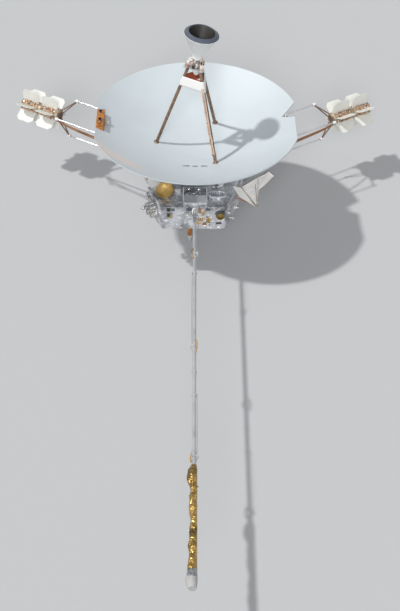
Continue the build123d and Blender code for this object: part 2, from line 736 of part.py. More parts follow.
def oval_hood():
    """Oval dust-detector hood on the bay's lid."""
    long, short = HOOD_RADII
    outer = extrude(Ellipse(long, short), HOOD_HEIGHT)
    inner = extrude(Ellipse(long - HOOD_WALL, short - HOOD_WALL), HOOD_HEIGHT)
    floor = extrude(Ellipse(long, short), HOOD_FLOOR)
    return Pos(*HOOD_AT, BUS_TOP) * (outer - inner + floor)


def chamfer_frame(side, share, z):
    """Plane on one of the bay's slanted front walls, its z axis pointing out."""
    a = Vector(BAY_MID_X + side * BAY_FRONT_HALF, BAY_FRONT_Y, 0)
    b = Vector(BAY_MID_X + side * BAY_SIDE_HALF, BAY_SIDE_Y, 0)
    at = a + (b - a) * share
    run = (b - a).normalized()
    out = Vector(-run.Y, run.X, 0) * side * -1
    return Plane(origin=(at.X, at.Y, z), x_dir=run, z_dir=out)


def telescope_cluster():
    """Backplate with the sensor barrels on the left slanted wall."""
    wide, high, plate = BARREL_PLATE
    cluster = Pos(0, 0, plate / 2) * Box(wide, high, plate)
    for x, y, r, length in BARRELS:
        cluster += rod((x, y, plate), (x, y, plate + length), r)
        cluster -= rod((x, y, plate + length - BARREL_BORE), (x, y, plate + length), r - BARREL_WALL)
    return chamfer_frame(-1, BARREL_SHARE, BUS_BOTTOM + BARREL_Z) * cluster


def side_detectors():
    """Disc and stalked ball on the bay's left corner."""
    disc = chamfer_frame(-1, 0.9, BUS_BOTTOM + 270) * Pos(0, 0, 14) * Cylinder(34, 28)
    ball = chamfer_frame(-1, 0.86, BUS_BOTTOM + 90)
    stalk = ball * Pos(0, 0, 40) * Cylinder(11, 80)
    ball = ball * Pos(0, 0, 82) * Sphere(27)
    return Compound([disc, stalk + ball])


def right_detectors():
    """Three small sensor heads on the right slanted wall."""
    heads = []
    for share, z, r, length in RIGHT_DETECTORS:
        frame = chamfer_frame(1, share, BUS_BOTTOM + z)
        head = Pos(0, 0, length / 2) * Cylinder(r, length) + Pos(0, 0, 4) * Cylinder(r + 10, 8)
        heads.append(frame * head)
    return Compound([head.solid() for head in heads])


def front_aperture():
    """Round instrument mouth in a collar on the bay's front."""
    x, z = APERTURE_AT
    back, front = BAY_FRONT_Y, BAY_FRONT_Y - APERTURE_DEPTH
    mouth = rod((x, back, BUS_BOTTOM + z), (x, front, BUS_BOTTOM + z), APERTURE_R)
    bore_r = APERTURE_R - APERTURE_WALL
    return mouth - rod((x, back - APERTURE_WALL, BUS_BOTTOM + z), (x, front, BUS_BOTTOM + z), bore_r)


def wall_panel():
    """White panel standing on the bay's lid beside the stowed rod's line."""
    lateral = -TRUSS_RADIUS * cos(radians(30)) - 5
    corners = [along(TRUSS_AZIMUTH["right"], s, lateral + t)[:2] for s, t in ((-685, -6), (-685, 6), (-800, 6), (-800, -6))]
    return prism(corners, BUS_TOP, 140)


def outrigger(blanket):
    """Two tubes from the bay's right corner to the blanket's foot, cut back to its skin."""
    foot = Vector(806, -866, BUS_TOP - 98)
    roots = [Vector(556, -665, BUS_TOP - 60), Vector(558, -640, BUS_TOP - 170)]
    tubes = rod(roots[0], foot, OUTRIGGER_R) + rod(roots[1], foot, OUTRIGGER_R)
    back = (roots[0] - foot).normalized() * SEAT
    return largest(tubes - bay() - blanket - Pos(*back) * blanket)


def polyhedron(points, faces):
    """Closed solid from corner points and faces that index them."""
    sides = [Face(Wire.make_polygon([points[k] for k in face], close=True)) for face in faces]
    return Solid(Shell(sides))


def outrigger_blanket():
    """Folded blanket: a pointed hollow-backed wedge outboard of the bay's right side."""
    points = [
        (800, -900, BUS_TOP - 100),
        (825, -700, BUS_TOP + 10),
        (1050, -440, BUS_TOP + 55),
        (965, -430, BUS_TOP + 130),
        (590, -640, BUS_TOP + 30),
        (860, -480, BUS_TOP - 20),
    ]
    faces = [(0, 1, 4), (1, 2, 3), (1, 3, 4), (0, 5, 1), (1, 5, 2), (5, 3, 2), (0, 4, 5), (4, 3, 5)]
    return polyhedron(points, faces)


def main():
    """Make every node."""
    bowl = dish()
    os.makedirs("parts", exist_ok=True)
    save("launch_ring", launch_ring())
    save("ring_posts", ring_posts())
    save("equipment_compartment", compartment())
    save("louvre_ring", louvres())
    save("instrument_bay", bay())
    save("dish_reflector", bowl)
    save("dish_hub", dish_hub())
    save("dish_struts", dish_struts())
    save("detector_panels", detector_panels())
    for name, azimuth in TRIPOD_AZIMUTHS.items():
        save(f"tripod_strut_{name}", tripod_strut(azimuth, bowl))
    save("feed_collar", feed_collar())
    save("feed_platform", feed_platform())
    save("feed_cone", feed_cone())
    save("feed_electronics", feed_electronics())
    save("horn_seat", horn_seat())
    save("gain_horn", gain_horn())
    save("thruster_box_left", thruster_box())
    save("thruster_pair_right", thruster_pair(bowl))
    save("sun_sensor", sun_sensor(bowl))
    mast, tip = aft_antenna()
    save("aft_mast", mast)
    save("aft_cone", tip)
    save("bowl_radiometer", bowl_radiometer())
    save("bay_covers", bay_covers())
    save("oval_hood", oval_hood())
    save("telescope_cluster", telescope_cluster())
    save("side_detectors", side_detectors())
    save("right_detectors", right_detectors())
    save("front_aperture", front_aperture())
    save("wall_panel", wall_panel())
    blanket = outrigger_blanket()
    save("outrigger_tubes", outrigger(blanket))
    save("outrigger_blanket", blanket)
    outer_start = GENERATOR_MID + GENERATOR_GAP / 2
    for side in TRUSS_AZIMUTH:
        frame = truss_frame(side)
        save(f"rod_guide_{side}", frame * rod_guide())
        save(f"truss_rods_{side}", frame * truss_rods())
        save(f"end_frame_{side}", frame * end_frame())
        save(f"generator_inner_{side}", frame * generator(GENERATOR_BASE, GENERATOR_GAP))
        save(f"generator_outer_{side}", frame * generator(outer_start))
    save("boom_root_bracket", boom_root_bracket())
    for index, name in enumerate(("boom_stub", "boom_inner", "boom_middle", "boom_outer")):
        save(name, boom_section(index))
    save("foil_sleeve", foil_sleeve())
    save("sensor_head", sensor_head())


if __name__ == "__main__":
    main()
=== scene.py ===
"""Looks of a spin-stabilised deep-space probe: films, paints, metals, cloth and fittings.

Metres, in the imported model's own frame: +Z is the dish's axis and -Y the deployed boom.
"""

from math import cos, pi, radians, sin, sqrt, tau

import bmesh
import bpy
import numpy as np
from bpy.props import FloatProperty, FloatVectorProperty, IntProperty, PointerProperty
from mathutils import Matrix, Vector, noise


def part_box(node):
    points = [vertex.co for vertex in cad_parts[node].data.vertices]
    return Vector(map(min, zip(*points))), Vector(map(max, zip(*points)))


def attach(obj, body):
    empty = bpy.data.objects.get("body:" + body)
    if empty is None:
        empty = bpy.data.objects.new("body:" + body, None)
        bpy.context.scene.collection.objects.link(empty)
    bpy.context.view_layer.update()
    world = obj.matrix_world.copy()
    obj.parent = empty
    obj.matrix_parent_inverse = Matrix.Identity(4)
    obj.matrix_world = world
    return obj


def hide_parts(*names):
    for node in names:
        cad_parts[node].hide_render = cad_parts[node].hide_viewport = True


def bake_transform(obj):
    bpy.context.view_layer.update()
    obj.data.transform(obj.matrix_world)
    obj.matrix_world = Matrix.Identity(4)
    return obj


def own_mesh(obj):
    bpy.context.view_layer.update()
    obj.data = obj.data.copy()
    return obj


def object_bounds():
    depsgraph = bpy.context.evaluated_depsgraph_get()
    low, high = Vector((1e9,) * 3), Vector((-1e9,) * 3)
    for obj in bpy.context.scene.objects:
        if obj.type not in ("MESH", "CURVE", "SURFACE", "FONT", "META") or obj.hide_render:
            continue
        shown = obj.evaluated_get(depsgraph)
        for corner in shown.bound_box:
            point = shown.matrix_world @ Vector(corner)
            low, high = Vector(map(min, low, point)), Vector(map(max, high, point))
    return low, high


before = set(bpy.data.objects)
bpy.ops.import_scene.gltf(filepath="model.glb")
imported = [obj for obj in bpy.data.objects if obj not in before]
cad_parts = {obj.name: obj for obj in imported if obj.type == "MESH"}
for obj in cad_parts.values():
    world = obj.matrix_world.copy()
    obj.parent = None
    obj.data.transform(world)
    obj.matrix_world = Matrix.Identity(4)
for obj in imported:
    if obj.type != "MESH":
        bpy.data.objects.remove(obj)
CAD_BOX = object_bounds()
shift = Matrix.Translation

bl_info = {
    "name": "Deep-Space Probe",
    "version": (1, 0, 0),
    "blender": (4, 5, 0),
    "location": "View3D > Sidebar > Probe",
    "description": "Dresses a dish-antenna space probe in its films, paints and fittings",
    "category": "Add Mesh",
}

# Bus
BUS_LOW, BUS_TOP = (corner.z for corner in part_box("instrument_bay"))
BAY_FRONT_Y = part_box("instrument_bay")[0].y
BAY_MID_X = -0.030
BAY_FRONT_HALF = 0.412
BAY_SIDE_HALF = 0.600
BAY_SIDE_Y = -0.620

# Dish and feed
DISH_R = 1.370
DISH_BOWL = 0.430
DISH_WALL = 0.020
RIM_Z = BUS_TOP + 0.190 + DISH_WALL + DISH_BOWL
FEED_Z = RIM_Z + 0.800
PLATFORM = 0.014
TRIPOD_FOOT_R = 0.520
TRIPOD_HEAD_R = 0.100
TRIPOD_STRUT_R = 0.021
TRIPOD_AZIMUTHS = {"left": 180, "near": -60, "far": 60}
COLLAR_LOW, COLLAR_HIGH = (corner.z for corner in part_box("feed_collar"))
CORE_TOP = FEED_Z + PLATFORM + 0.100
HORN_TILT = 9
HORN_NECK_R = 0.067
HORN_NECK = 0.055
HORN_MOUTH_R = 0.222
HORN_LENGTH = 0.375
HORN_LIP = 0.338
HORN_EYE_R = 0.172
HORN_WALL = 0.006

# Trusses and generators, in a frame whose z axis points out along the truss
TRUSS_AZIMUTH = {"left": 150, "right": 30}
TRUSS_Z = {"left": 0.415, "right": 0.385}
TRUSS_RADIUS = 0.290
ROD_ANGLES = (30, 150, 270)
ROD_R = 0.010
ROD_END = 2.100
GENERATOR_STARTS = {"inner": 2.2425, "outer": 2.5675}
GENERATOR_LENGTH = 0.280
GENERATOR_GAP = 0.045
CORE_R = 0.084
FIN_TIP_R = 0.254
FIN_PLATE = 0.007
FIN_CHAMFER = 0.045
FIN_COUNT = 6

# Boom
BOOM_X = -0.009
BOOM_Z = 0.430
HINGE_YS = (-1.090, -1.859, -3.4665, -5.074)
HINGE_SIDES = (-1, 1, -1, 1)
TIP_Y = -6.6815
BOOM_BODIES = ("boom_stub", "boom_inner", "boom_middle", "boom_outer")
SLEEVE_CLOSE_ANGLE = 0.0


# Meshes

class Form:
    """Points and faces of one piece while it is built up."""

    def __init__(self):
        self.points = []
        self.faces = []
        self.looks = []

    def add(self, shape, place=None, look=0):
        """Append a shape, a pair of points and faces, with one material index."""
        points, faces = shape
        start = len(self.points)
        place = place or Matrix()
        self.points += [place @ Vector(p) for p in points]
        self.faces += [[start + k for k in face] for face in faces]
        self.looks += [look] * len(faces)
        return self

    def make(self, name, looks, body, slot, angle=35):
        """Turn the shapes into a piece that rides on a body."""
        mesh = bpy.data.meshes.new(name)
        mesh.from_pydata([tuple(p) for p in self.points], [], self.faces)
        mesh.polygons.foreach_set("material_index", self.looks)
        outward(mesh)
        mesh.shade_smooth()
        mesh.set_sharp_from_angle(angle=radians(angle))
        return finished(name, mesh, looks, body)


def outward(mesh):
    """Point every closed shell's faces outwards."""
    work = bmesh.new()
    work.from_mesh(mesh)
    bmesh.ops.recalc_face_normals(work, faces=work.faces)
    work.to_mesh(mesh)
    work.free()


def finished(name, mesh, looks, body):
    """Link a mesh as a piece with its finishes, and with its body when one is given."""
    piece = bpy.data.objects.new(name, mesh)
    bpy.context.scene.collection.objects.link(piece)
    for finish in [looks] if isinstance(looks, str) else looks:
        mesh.materials.append(look(finish))
    if body:
        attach(piece, body)
    return piece


def lathe(profile, steps=48, ring=False):
    """Turn (radius, height) points about the z axis. A ring's profile closes on itself."""
    points, faces, rows = [], [], []
    for radius, height in profile:
        if radius < 1e-6:
            rows.append([len(points)] * steps)
            points.append((0, 0, height))
            continue
        rows.append(list(range(len(points), len(points) + steps)))
        turns = [tau * k / steps for k in range(steps)]
        points += [(radius * cos(a), radius * sin(a), height) for a in turns]
    pairs = list(zip(rows, rows[1:])) + ([(rows[-1], rows[0])] if ring else [])
    for low, high in pairs:
        for k in range(steps):
            n = (k + 1) % steps
            face = [low[k], low[n], high[n], high[k]]
            face = [v for i, v in enumerate(face) if v not in face[:i]]
            if len(face) > 2:
                faces.append(face)
    return points, faces


def drum(radius, low, high, steps=32, edge=0.001):
    """Closed cylinder with softened edges."""
    edge = min(edge, radius / 3, (high - low) / 3)
    profile = [(0, low), (radius - edge, low), (radius, low + edge)]
    profile += [(radius, high - edge), (radius - edge, high), (0, high)]
    return lathe(profile, steps)


def bar(size, edge=0.001):
    """Box about the origin with softened edges."""
    work = bmesh.new()
    bmesh.ops.create_cube(work, size=1, matrix=Matrix.Diagonal((*size, 1)))
    bmesh.ops.bevel(work, geom=work.edges[:], offset=min(edge, min(size) / 3), segments=1, affect="EDGES")
    shape = [tuple(v.co) for v in work.verts], [[v.index for v in f.verts] for f in work.faces]
    work.free()
    return shape


def frames_along(route):
    """A point, two cross axes and a tangent for each point of a route, with no twist."""
    route = [Vector(p) for p in route]
    side = None
    rows = []
    for k, p in enumerate(route):
        ahead = (route[min(k + 1, len(route) - 1)] - route[max(k - 1, 0)]).normalized()
        if side is None:
            side = ahead.orthogonal().normalized()
        side = (side - ahead * side.dot(ahead)).normalized()
        rows.append((p, side, ahead.cross(side), ahead))
    return rows


def tube(route, radius, sides=10, flat=1.0):
    """Round tube along a route, with capped ends. Flat under 1 squeezes the section."""
    points, faces = [], []
    rows = frames_along(route)
    for p, side, up, _ in rows:
        for k in range(sides):
            a = tau * k / sides
            points.append(p + side * (radius * cos(a)) + up * (radius * flat * sin(a)))
    for r in range(len(rows) - 1):
        for k in range(sides):
            n = (k + 1) % sides
            a, b = r * sides, (r + 1) * sides
            faces.append([a + k, a + n, b + n, b + k])
    faces.append(list(range(sides))[::-1])
    last = (len(rows) - 1) * sides
    faces.append([last + k for k in range(sides)])
    return points, faces


def bend(points, steps=8):
    """Smooth route through a few control points."""
    spline = [Vector(points[0])] + [Vector(p) for p in points] + [Vector(points[-1])]
    route = []
    for a, b, c, d in zip(spline, spline[1:], spline[2:], spline[3:]):
        for k in range(steps):
            t = k / steps
            move = (-a + c) * t + (2 * a - 5 * b + 4 * c - d) * t * t + (-a + 3 * b - 3 * c + d) * t ** 3
            route.append(b + move / 2)
    return route + [Vector(points[-1])]


def aimed(origin, ahead):
    """Matrix that puts +Z along a direction at a point."""
    ahead = Vector(ahead).normalized()
    return shift(origin) @ ahead.to_track_quat("Z", "Y").to_matrix().to_4x4()


def polar(azimuth, distance, z=0.0):
    """Point at a distance along an azimuth in degrees."""
    return Vector((distance * cos(radians(azimuth)), distance * sin(radians(azimuth)), z))


def bowl_z(radius):
    """Height of the dish's front surface."""
    return RIM_Z - DISH_BOWL + DISH_BOWL * (radius / DISH_R) ** 2


# Crumpled film

def creases(points, cell, seed):
    """Height from -1 to 1 of crumpled film: straight sharp folds in many directions, each dying out."""
    rng = np.random.default_rng(seed)
    points = np.asarray(points, float)
    warp = np.array([noise.noise_vector(Vector(p / (cell * 2.2))) for p in points])
    bent = points + warp * cell * 0.6
    total = np.zeros(len(points))
    weight = 0.0
    for _ in range(9):
        heading, gate = rng.normal(size=(2, 3))
        heading /= np.linalg.norm(heading)
        gate /= np.linalg.norm(gate)
        length = cell * rng.uniform(0.45, 2.1)
        wave = np.abs((bent @ heading / length + rng.uniform()) % 1 - 0.5) * 4 - 1
        mask = np.clip(np.sin(bent @ gate / (cell * 0.9) + rng.uniform(0, 6)) + 0.45, 0, 1)
        total += wave * mask * length / cell
        weight += length / cell * 0.45
    return np.clip(total / weight, -1.3, 1.3)


def merged_copy(node):
    """Closed copy of a CAD node's mesh."""
    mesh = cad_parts[node].data.copy()
    work = bmesh.new()
    work.from_mesh(mesh)
    bmesh.ops.remove_doubles(work, verts=work.verts, dist=1e-5)
    work.to_mesh(mesh)
    work.free()
    mesh.materials.clear()
    return mesh


def evaluated(piece):
    """Plain mesh of an object with its modifiers, which are then removed."""
    graph = bpy.context.evaluated_depsgraph_get()
    mesh = bpy.data.meshes.new_from_object(piece.evaluated_get(graph))
    piece.modifiers.clear()
    return mesh


def film_wrap(name, node, finish, voxel, depth, cell, seed, push=0.0):
    """Crumpled film over a CAD node's solid, which it replaces."""
    piece = bpy.data.objects.new(name, merged_copy(node))
    bpy.context.scene.collection.objects.link(piece)
    grid = piece.modifiers.new("grid", "REMESH")
    grid.mode = "VOXEL"
    grid.voxel_size = voxel
    mesh = evaluated(piece)
    bpy.data.objects.remove(piece)
    displaced(mesh, depth, cell, seed, push)
    mesh.materials.clear()
    mesh.shade_smooth()
    mesh.set_sharp_from_angle(angle=radians(38))
    piece = finished(name, mesh, finish, "bus")
    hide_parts(node)


def displaced(mesh, depth, cell, seed, push=0.0):
    """Move a mesh's points along their normals by a crease field at two scales."""
    count = len(mesh.vertices)
    points = np.empty(count * 3)
    normals = np.empty(count * 3)
    mesh.vertices.foreach_get("co", points)
    mesh.vertices.foreach_get("normal", normals)
    points, normals = points.reshape(-1, 3), normals.reshape(-1, 3)
    height = creases(points, cell, seed) * 0.75 + creases(points, cell / 2.6, seed + 1) * 0.35
    points = points + normals * (height * depth + push)[:, None]
    mesh.vertices.foreach_set("co", points.ravel())
    mesh.update()


def skin(start, end, radius, step, offset):
    """Closed tube on a fine grid. Offset gives the extra radius at an angle and a distance."""
    start, end = Vector(start), Vector(end)
    length = (end - start).length
    around = max(12, int(tau * radius / step))
    along = max(2, int(length / step))
    place = aimed(start, end - start)
    angle, run = np.meshgrid(np.arange(around) * tau / around, np.linspace(0, length, along + 1))
    flat = np.stack([radius * np.cos(angle), radius * np.sin(angle), run], axis=-1).reshape(-1, 3)
    extra = offset(flat, angle.ravel(), run.ravel())
    scale = (radius + extra) / radius
    points = [Vector((p[0] * s, p[1] * s, p[2])) for p, s in zip(flat, scale)]
    faces = []
    for r in range(along):
        for k in range(around):
            a, b = r * around, (r + 1) * around
            n = (k + 1) % around
            faces.append([a + k, a + n, b + n, b + k])
    for row, height in ((0, 0.0), (along, length)):
        middle = len(points)
        points.append(Vector((0, 0, height)))
        faces += [[row * around + k, row * around + (k + 1) % around, middle] for k in range(around)]
    return [place @ p for p in points], faces


def taped(pitch, lap, depth, cell, seed):
    """Offset of overlapping spiral tape with small creases."""

    def offset(points, angle, run):
        turn = (run / pitch + angle / tau) % 1
        return lap * turn + depth * creases(points, cell, seed)

    return offset


def crumpled(depth, cell, seed):
    """Offset of loose crumpled film."""

    def offset(points, angle, run):
        return depth * (creases(points, cell, seed) * 0.7 + creases(points, cell / 2.5, seed + 3) * 0.4)

    return offset


def film_panel(corners, plate, depth, cell, seed, step=0.01):
    """Closed thin panel over four corners, its face crumpled and its edges straight."""
    a, b, c, d = (Vector(p) for p in corners)
    out = (b - a).cross(d - a).normalized()
    wide = max(2, int((b - a).length / step))
    high = max(2, int((d - a).length / step))
    front, mask = [], []
    for j in range(high + 1):
        for i in range(wide + 1):
            u, v = i / wide, j / high
            front.append((a * (1 - u) + b * u) * (1 - v) + (d * (1 - u) + c * u) * v)
            mask.append(min(1, 6 * min(u, 1 - u, v, 1 - v)))
    height = creases([tuple(p) for p in front], cell, seed) * depth * np.array(mask)
    points = [p + out * h for p, h in zip(front, height)] + [p - out * plate for p in front]
    back = len(front)
    row = wide + 1
    faces = []
    for j in range(high):
        for i in range(wide):
            k = j * row + i
            faces.append([k, k + 1, k + row + 1, k + row])
            faces.append([back + k, back + k + row, back + k + row + 1, back + k + 1])
    rim = [i for i in range(wide + 1)] + [j * row + wide for j in range(1, high + 1)]
    rim += [high * row + i for i in range(wide - 1, -1, -1)] + [j * row for j in range(high - 1, 0, -1)]
    faces += [[m, n, back + n, back + m] for m, n in zip(rim, rim[1:] + rim[:1])]
    return points, faces


# Node helpers

def wired(tree, kind, sockets=None, **settings):
    """New node with settings. Each socket takes a plain value or another node's output."""
    node = tree.nodes.new(kind)
    for key, value in settings.items():
        setattr(node, key, value)
    for key, value in (sockets or {}).items():
        if isinstance(value, bpy.types.NodeSocket):
            tree.links.new(value, node.inputs[key])
        else:
            node.inputs[key].default_value = value
    return node


def new_tree(name, sockets):
    """Empty geometry tree with the named inputs. Returns the tree and its input node's outputs."""
    tree = bpy.data.node_groups.new(name, "GeometryNodeTree")
    tree.interface.new_socket("Geometry", in_out="INPUT", socket_type="NodeSocketGeometry")
    for label, kind, default in sockets:
        socket = tree.interface.new_socket(label, in_out="INPUT", socket_type="NodeSocket" + kind)
        if default is not None:
            socket.default_value = default
    tree.interface.new_socket("Geometry", in_out="OUTPUT", socket_type="NodeSocketGeometry")
    return tree, tree.nodes.new("NodeGroupInput").outputs


def finish_tree(tree, given, instances):
    """End a tree in Realize Instances and Set Material."""
    real = wired(tree, "GeometryNodeRealizeInstances", {"Geometry": instances})
    sockets = {"Geometry": real.outputs[0], "Material": given["Material"]}
    paint = wired(tree, "GeometryNodeSetMaterial", sockets)
    wired(tree, "NodeGroupOutput", {"Geometry": paint.outputs[0]})
    return tree


def fittings_tree(name):
    """Put a many-sided stud on every point, turned to the point's aim, with a random size."""
    sockets = [("Radius", "Float", 0.005), ("Height", "Float", 0.004), ("Sides", "Int", 8)]
    sockets += [("Size Spread", "Float", 0.0), ("Seed", "Int", 0), ("Material", "Material", None)]
    tree, given = new_tree(name, sockets)
    stud = wired(tree, "GeometryNodeMeshCylinder",
                 {"Vertices": given["Sides"], "Radius": given["Radius"], "Depth": given["Height"]})
    aim = wired(tree, "GeometryNodeInputNamedAttribute", {"Name": "aim"}, data_type="FLOAT_VECTOR")
    turn = wired(tree, "FunctionNodeAlignRotationToVector", {"Vector": aim.outputs["Attribute"]}, axis="Z")
    low, high = (wired(tree, "ShaderNodeMath", {0: 1.0, 1: given["Size Spread"]}, operation=way).outputs[0]
                 for way in ("SUBTRACT", "ADD"))
    size = wired(tree, "FunctionNodeRandomValue", data_type="FLOAT_VECTOR")
    tree.links.new(low, size.inputs["Min"])
    tree.links.new(high, size.inputs["Max"])
    tree.links.new(given["Seed"], size.inputs["Seed"])
    place = wired(tree, "GeometryNodeInstanceOnPoints",
                  {"Points": given["Geometry"], "Instance": stud.outputs["Mesh"],
                   "Rotation": turn.outputs["Rotation"], "Scale": size.outputs[0]})
    return finish_tree(tree, given, place.outputs[0])


def bands_tree(name):
    """Put a round band at an even spacing along a route."""
    sockets = [("Radius", "Float", 0.012), ("Width", "Float", 0.010), ("Spacing", "Float", 0.2)]
    sockets += [("Sides", "Int", 20), ("Material", "Material", None)]
    tree, given = new_tree(name, sockets)
    curve = wired(tree, "GeometryNodeMeshToCurve", {"Mesh": given["Geometry"]})
    spots = wired(tree, "GeometryNodeCurveToPoints",
                  {"Curve": curve.outputs[0], "Length": given["Spacing"]}, mode="LENGTH")
    turn = wired(tree, "FunctionNodeAlignRotationToVector", {"Vector": spots.outputs["Tangent"]}, axis="Z")
    band = wired(tree, "GeometryNodeMeshCylinder",
                 {"Vertices": given["Sides"], "Radius": given["Radius"], "Depth": given["Width"]})
    place = wired(tree, "GeometryNodeInstanceOnPoints",
                  {"Points": spots.outputs["Points"], "Instance": band.outputs["Mesh"],
                   "Rotation": turn.outputs["Rotation"]})
    return finish_tree(tree, given, place.outputs[0])


def grown(name, points, edges, make, values, finish, body, aims=None):
    """Run a tree on points or a route and keep the result as a plain piece."""
    seat = bpy.data.meshes.new(name)
    seat.from_pydata([tuple(p) for p in points], edges, [])
    if aims is not None:
        aim = seat.attributes.new("aim", "FLOAT_VECTOR", "POINT")
        aim.data.foreach_set("vector", np.array([tuple(a) for a in aims], float).ravel())
    tree = bpy.data.node_groups.get(make.__name__) or make(make.__name__)
    piece = bpy.data.objects.new(name, seat)
    bpy.context.scene.collection.objects.link(piece)
    nodes = piece.modifiers.new("tree", "NODES")
    nodes.node_group = tree
    values["Material"] = look(finish)
    for item in tree.interface.items_tree:
        if item.in_out == "INPUT" and item.name in values:
            nodes[item.identifier] = values[item.name]
    mesh = evaluated(piece)
    bpy.data.objects.remove(piece)
    mesh.name = name
    mesh.shade_smooth()
    mesh.set_sharp_from_angle(angle=radians(35))
    mesh.materials.clear()
    return finished(name, mesh, finish, body)


def studs(name, seats, radius, height, finish, body, sides=6, spread=0.0, seed=0):
    """Bolt heads or buttons at a list of (point, outward direction)."""
    values = {"Radius": radius, "Height": height, "Sides": sides, "Size Spread": spread, "Seed": seed}
    points, aims = zip(*seats)
    return grown(name, points, [], fittings_tree, values, finish, body, aims)


def bands(name, route, radius, width, spacing, finish, body):
    """Bands at an even spacing along a straight route."""
    values = {"Radius": radius, "Width": width, "Spacing": spacing}
    return grown(name, route, [(0, 1)], bands_tree, values, finish, body)


# Materials

FINISHES = {}


class Finish:
    """One procedural material, with short names for the nodes that it needs."""

    def __init__(self, name, metallic=0.0, roughness=0.5, colour=(0.8, 0.8, 0.8)):
        self.material = FINISHES[name] = bpy.data.materials.new(name)
        self.material.use_nodes = True
        self.tree = self.material.node_tree
        self.shader = self.tree.nodes["Principled BSDF"]
        self.shader.inputs["Metallic"].default_value = metallic
        self.shader.inputs["Roughness"].default_value = roughness
        self.shader.inputs["Base Color"].default_value = (*colour, 1)
        self.coords = self.node("TexCoord").outputs["Object"]

    def node(self, kind, sockets=None, **settings):
        """New shader node."""
        return wired(self.tree, "ShaderNode" + kind, sockets, **settings)

    def turned(self, scale=(1, 1, 1), turn=(0, 0, 0)):
        """Object coordinates, stretched and turned."""
        return self.node("Mapping", {"Vector": self.coords, "Scale": scale, "Rotation": turn}).outputs[0]

    def cloud(self, scale, detail=4.0, vector=None, distortion=0.0):
        """Noise pattern."""
        sockets = {"Vector": vector or self.coords, "Scale": scale, "Detail": detail,
                   "Distortion": distortion}
        return self.node("TexNoise", sockets).outputs["Fac"]

    def facets(self, scale, vector=None, jitter=1.0, metric="EUCLIDEAN"):
        """Distance to the nearest cell's middle, as of creased film."""
        sockets = {"Vector": vector or self.coords, "Scale": scale, "Randomness": jitter}
        return self.node("TexVoronoi", sockets, distance=metric).outputs["Distance"]

    def wave(self, scale, direction):
        """Banded pattern."""
        sockets = {"Vector": self.coords, "Scale": scale}
        return self.node("TexWave", sockets, bands_direction=direction).outputs["Fac"]

    def ramp(self, value, stops):
        """Colours at places from 0 to 1 of a value."""
        node = self.node("ValToRGB", {"Fac": value})
        elements = node.color_ramp.elements
        for element, (place, colour) in zip(elements, (stops[0], stops[-1])):
            element.position = place
            element.color = (*colour, 1)
        for place, colour in stops[1:-1]:
            elements.new(place).color = (*colour, 1)
        return node.outputs["Color"]

    def blend(self, share, one, two):
        """Mix of two colours by a share."""
        two = (*two, 1) if isinstance(two, tuple) else two
        return self.node("Mix", {"Factor": share, 6: one, 7: two}, data_type="RGBA").outputs[2]

    def maths(self, operation, one, two):
        """Result of one operation on two values."""
        return self.node("Math", {0: one, 1: two}, operation=operation).outputs[0]

    def weighed(self, one, share, two, rest):
        """Sum of two values times their shares."""
        return self.maths("ADD", self.maths("MULTIPLY", one, share), self.maths("MULTIPLY", two, rest))

    def range(self, value, low, high):
        """Value from 0 to 1 spread between two ends."""
        return self.node("MapRange", {"Value": value, "To Min": low, "To Max": high}).outputs["Result"]

    def colour(self, value):
        """Wire the base colour."""
        self.tree.links.new(value, self.shader.inputs["Base Color"])

    def rough(self, value, low, high):
        """Wire the roughness between two ends."""
        self.tree.links.new(self.range(value, low, high), self.shader.inputs["Roughness"])

    def relief(self, height, distance, strength=1.0):
        """Wire a bump of a real height."""
        node = self.node("Bump", {"Strength": strength, "Distance": distance, "Height": height})
        self.tree.links.new(node.outputs["Normal"], self.shader.inputs["Normal"])


def tint(colour, factor):
    """Lighter or darker copy of a colour."""
    return tuple(min(1.0, c * factor) for c in colour)


def film(name, colour, dark, cell=12.0, metallic=0.95, rough=(0.14, 0.30), relief=0.012):
    """Creased metallic film: flat slanting facets of two sizes, with painted dark reflections in patches
    and painted shade along the folds.
    """
    f = Finish(name, metallic=metallic)
    facet = f.facets(cell, f.turned(turn=(0.5, 0.3, 0.8)), 1.0, "MANHATTAN")
    fine = f.facets(cell * 2.7, f.turned(turn=(0.2, 0.9, 0.4)), 1.0, "MANHATTAN")
    patch = f.cloud(cell * 0.45, 5.0, None, 1.2)
    # Painted reflections: noise patches darken to the dark colour, which stands in for dark surroundings
    # mirrored in the film.
    painted_reflection_stops = [(0.36, dark), (0.44, tint(colour, 0.62)), (0.53, colour), (0.70, tint(colour, 1.18))]
    painted_reflection = f.ramp(patch, painted_reflection_stops)
    # Painted crease shade: the fine facets darken towards their edges, along the folds.
    crest = f.ramp(fine, [(0.20, colour), (0.75, tint(colour, 0.70))])
    f.colour(f.blend(0.4, painted_reflection, crest))
    f.rough(fine, *rough)
    f.relief(f.weighed(facet, 0.6, fine, 0.2), relief)


def paint(name, colour, rough=0.45, stain=0.93, scale=2.0, speck=60.0):
    """Matt thermal paint with faint clouds and a fine orange-peel."""
    f = Finish(name, roughness=rough)
    grain = f.cloud(speck, 3.0)
    mixed = f.weighed(f.cloud(scale, 6.0), 0.75, grain, 0.25)
    f.colour(f.ramp(mixed, [(0.30, tint(colour, stain)), (0.52, colour), (0.75, tint(colour, 1.03))]))
    f.rough(grain, rough - 0.06, rough + 0.1)
    f.relief(f.cloud(speck * 5, 2.0), 0.0004, 0.5)


def metal(name, colour, rough=(0.25, 0.45), stretch=(1, 1, 1), scale=40.0, metallic=0.9):
    """Satin metal with fine brushing along one way and faint handling marks."""
    f = Finish(name, metallic=metallic)
    lines = f.cloud(scale, 5.0, f.turned(stretch))
    shade = f.weighed(lines, 0.5, f.cloud(6.0, 5.0), 0.5)
    f.colour(f.ramp(shade, [(0.30, tint(colour, 0.72)), (0.50, colour), (0.72, tint(colour, 1.15))]))
    f.rough(lines, *rough)
    f.relief(lines, 0.0005, 0.4)


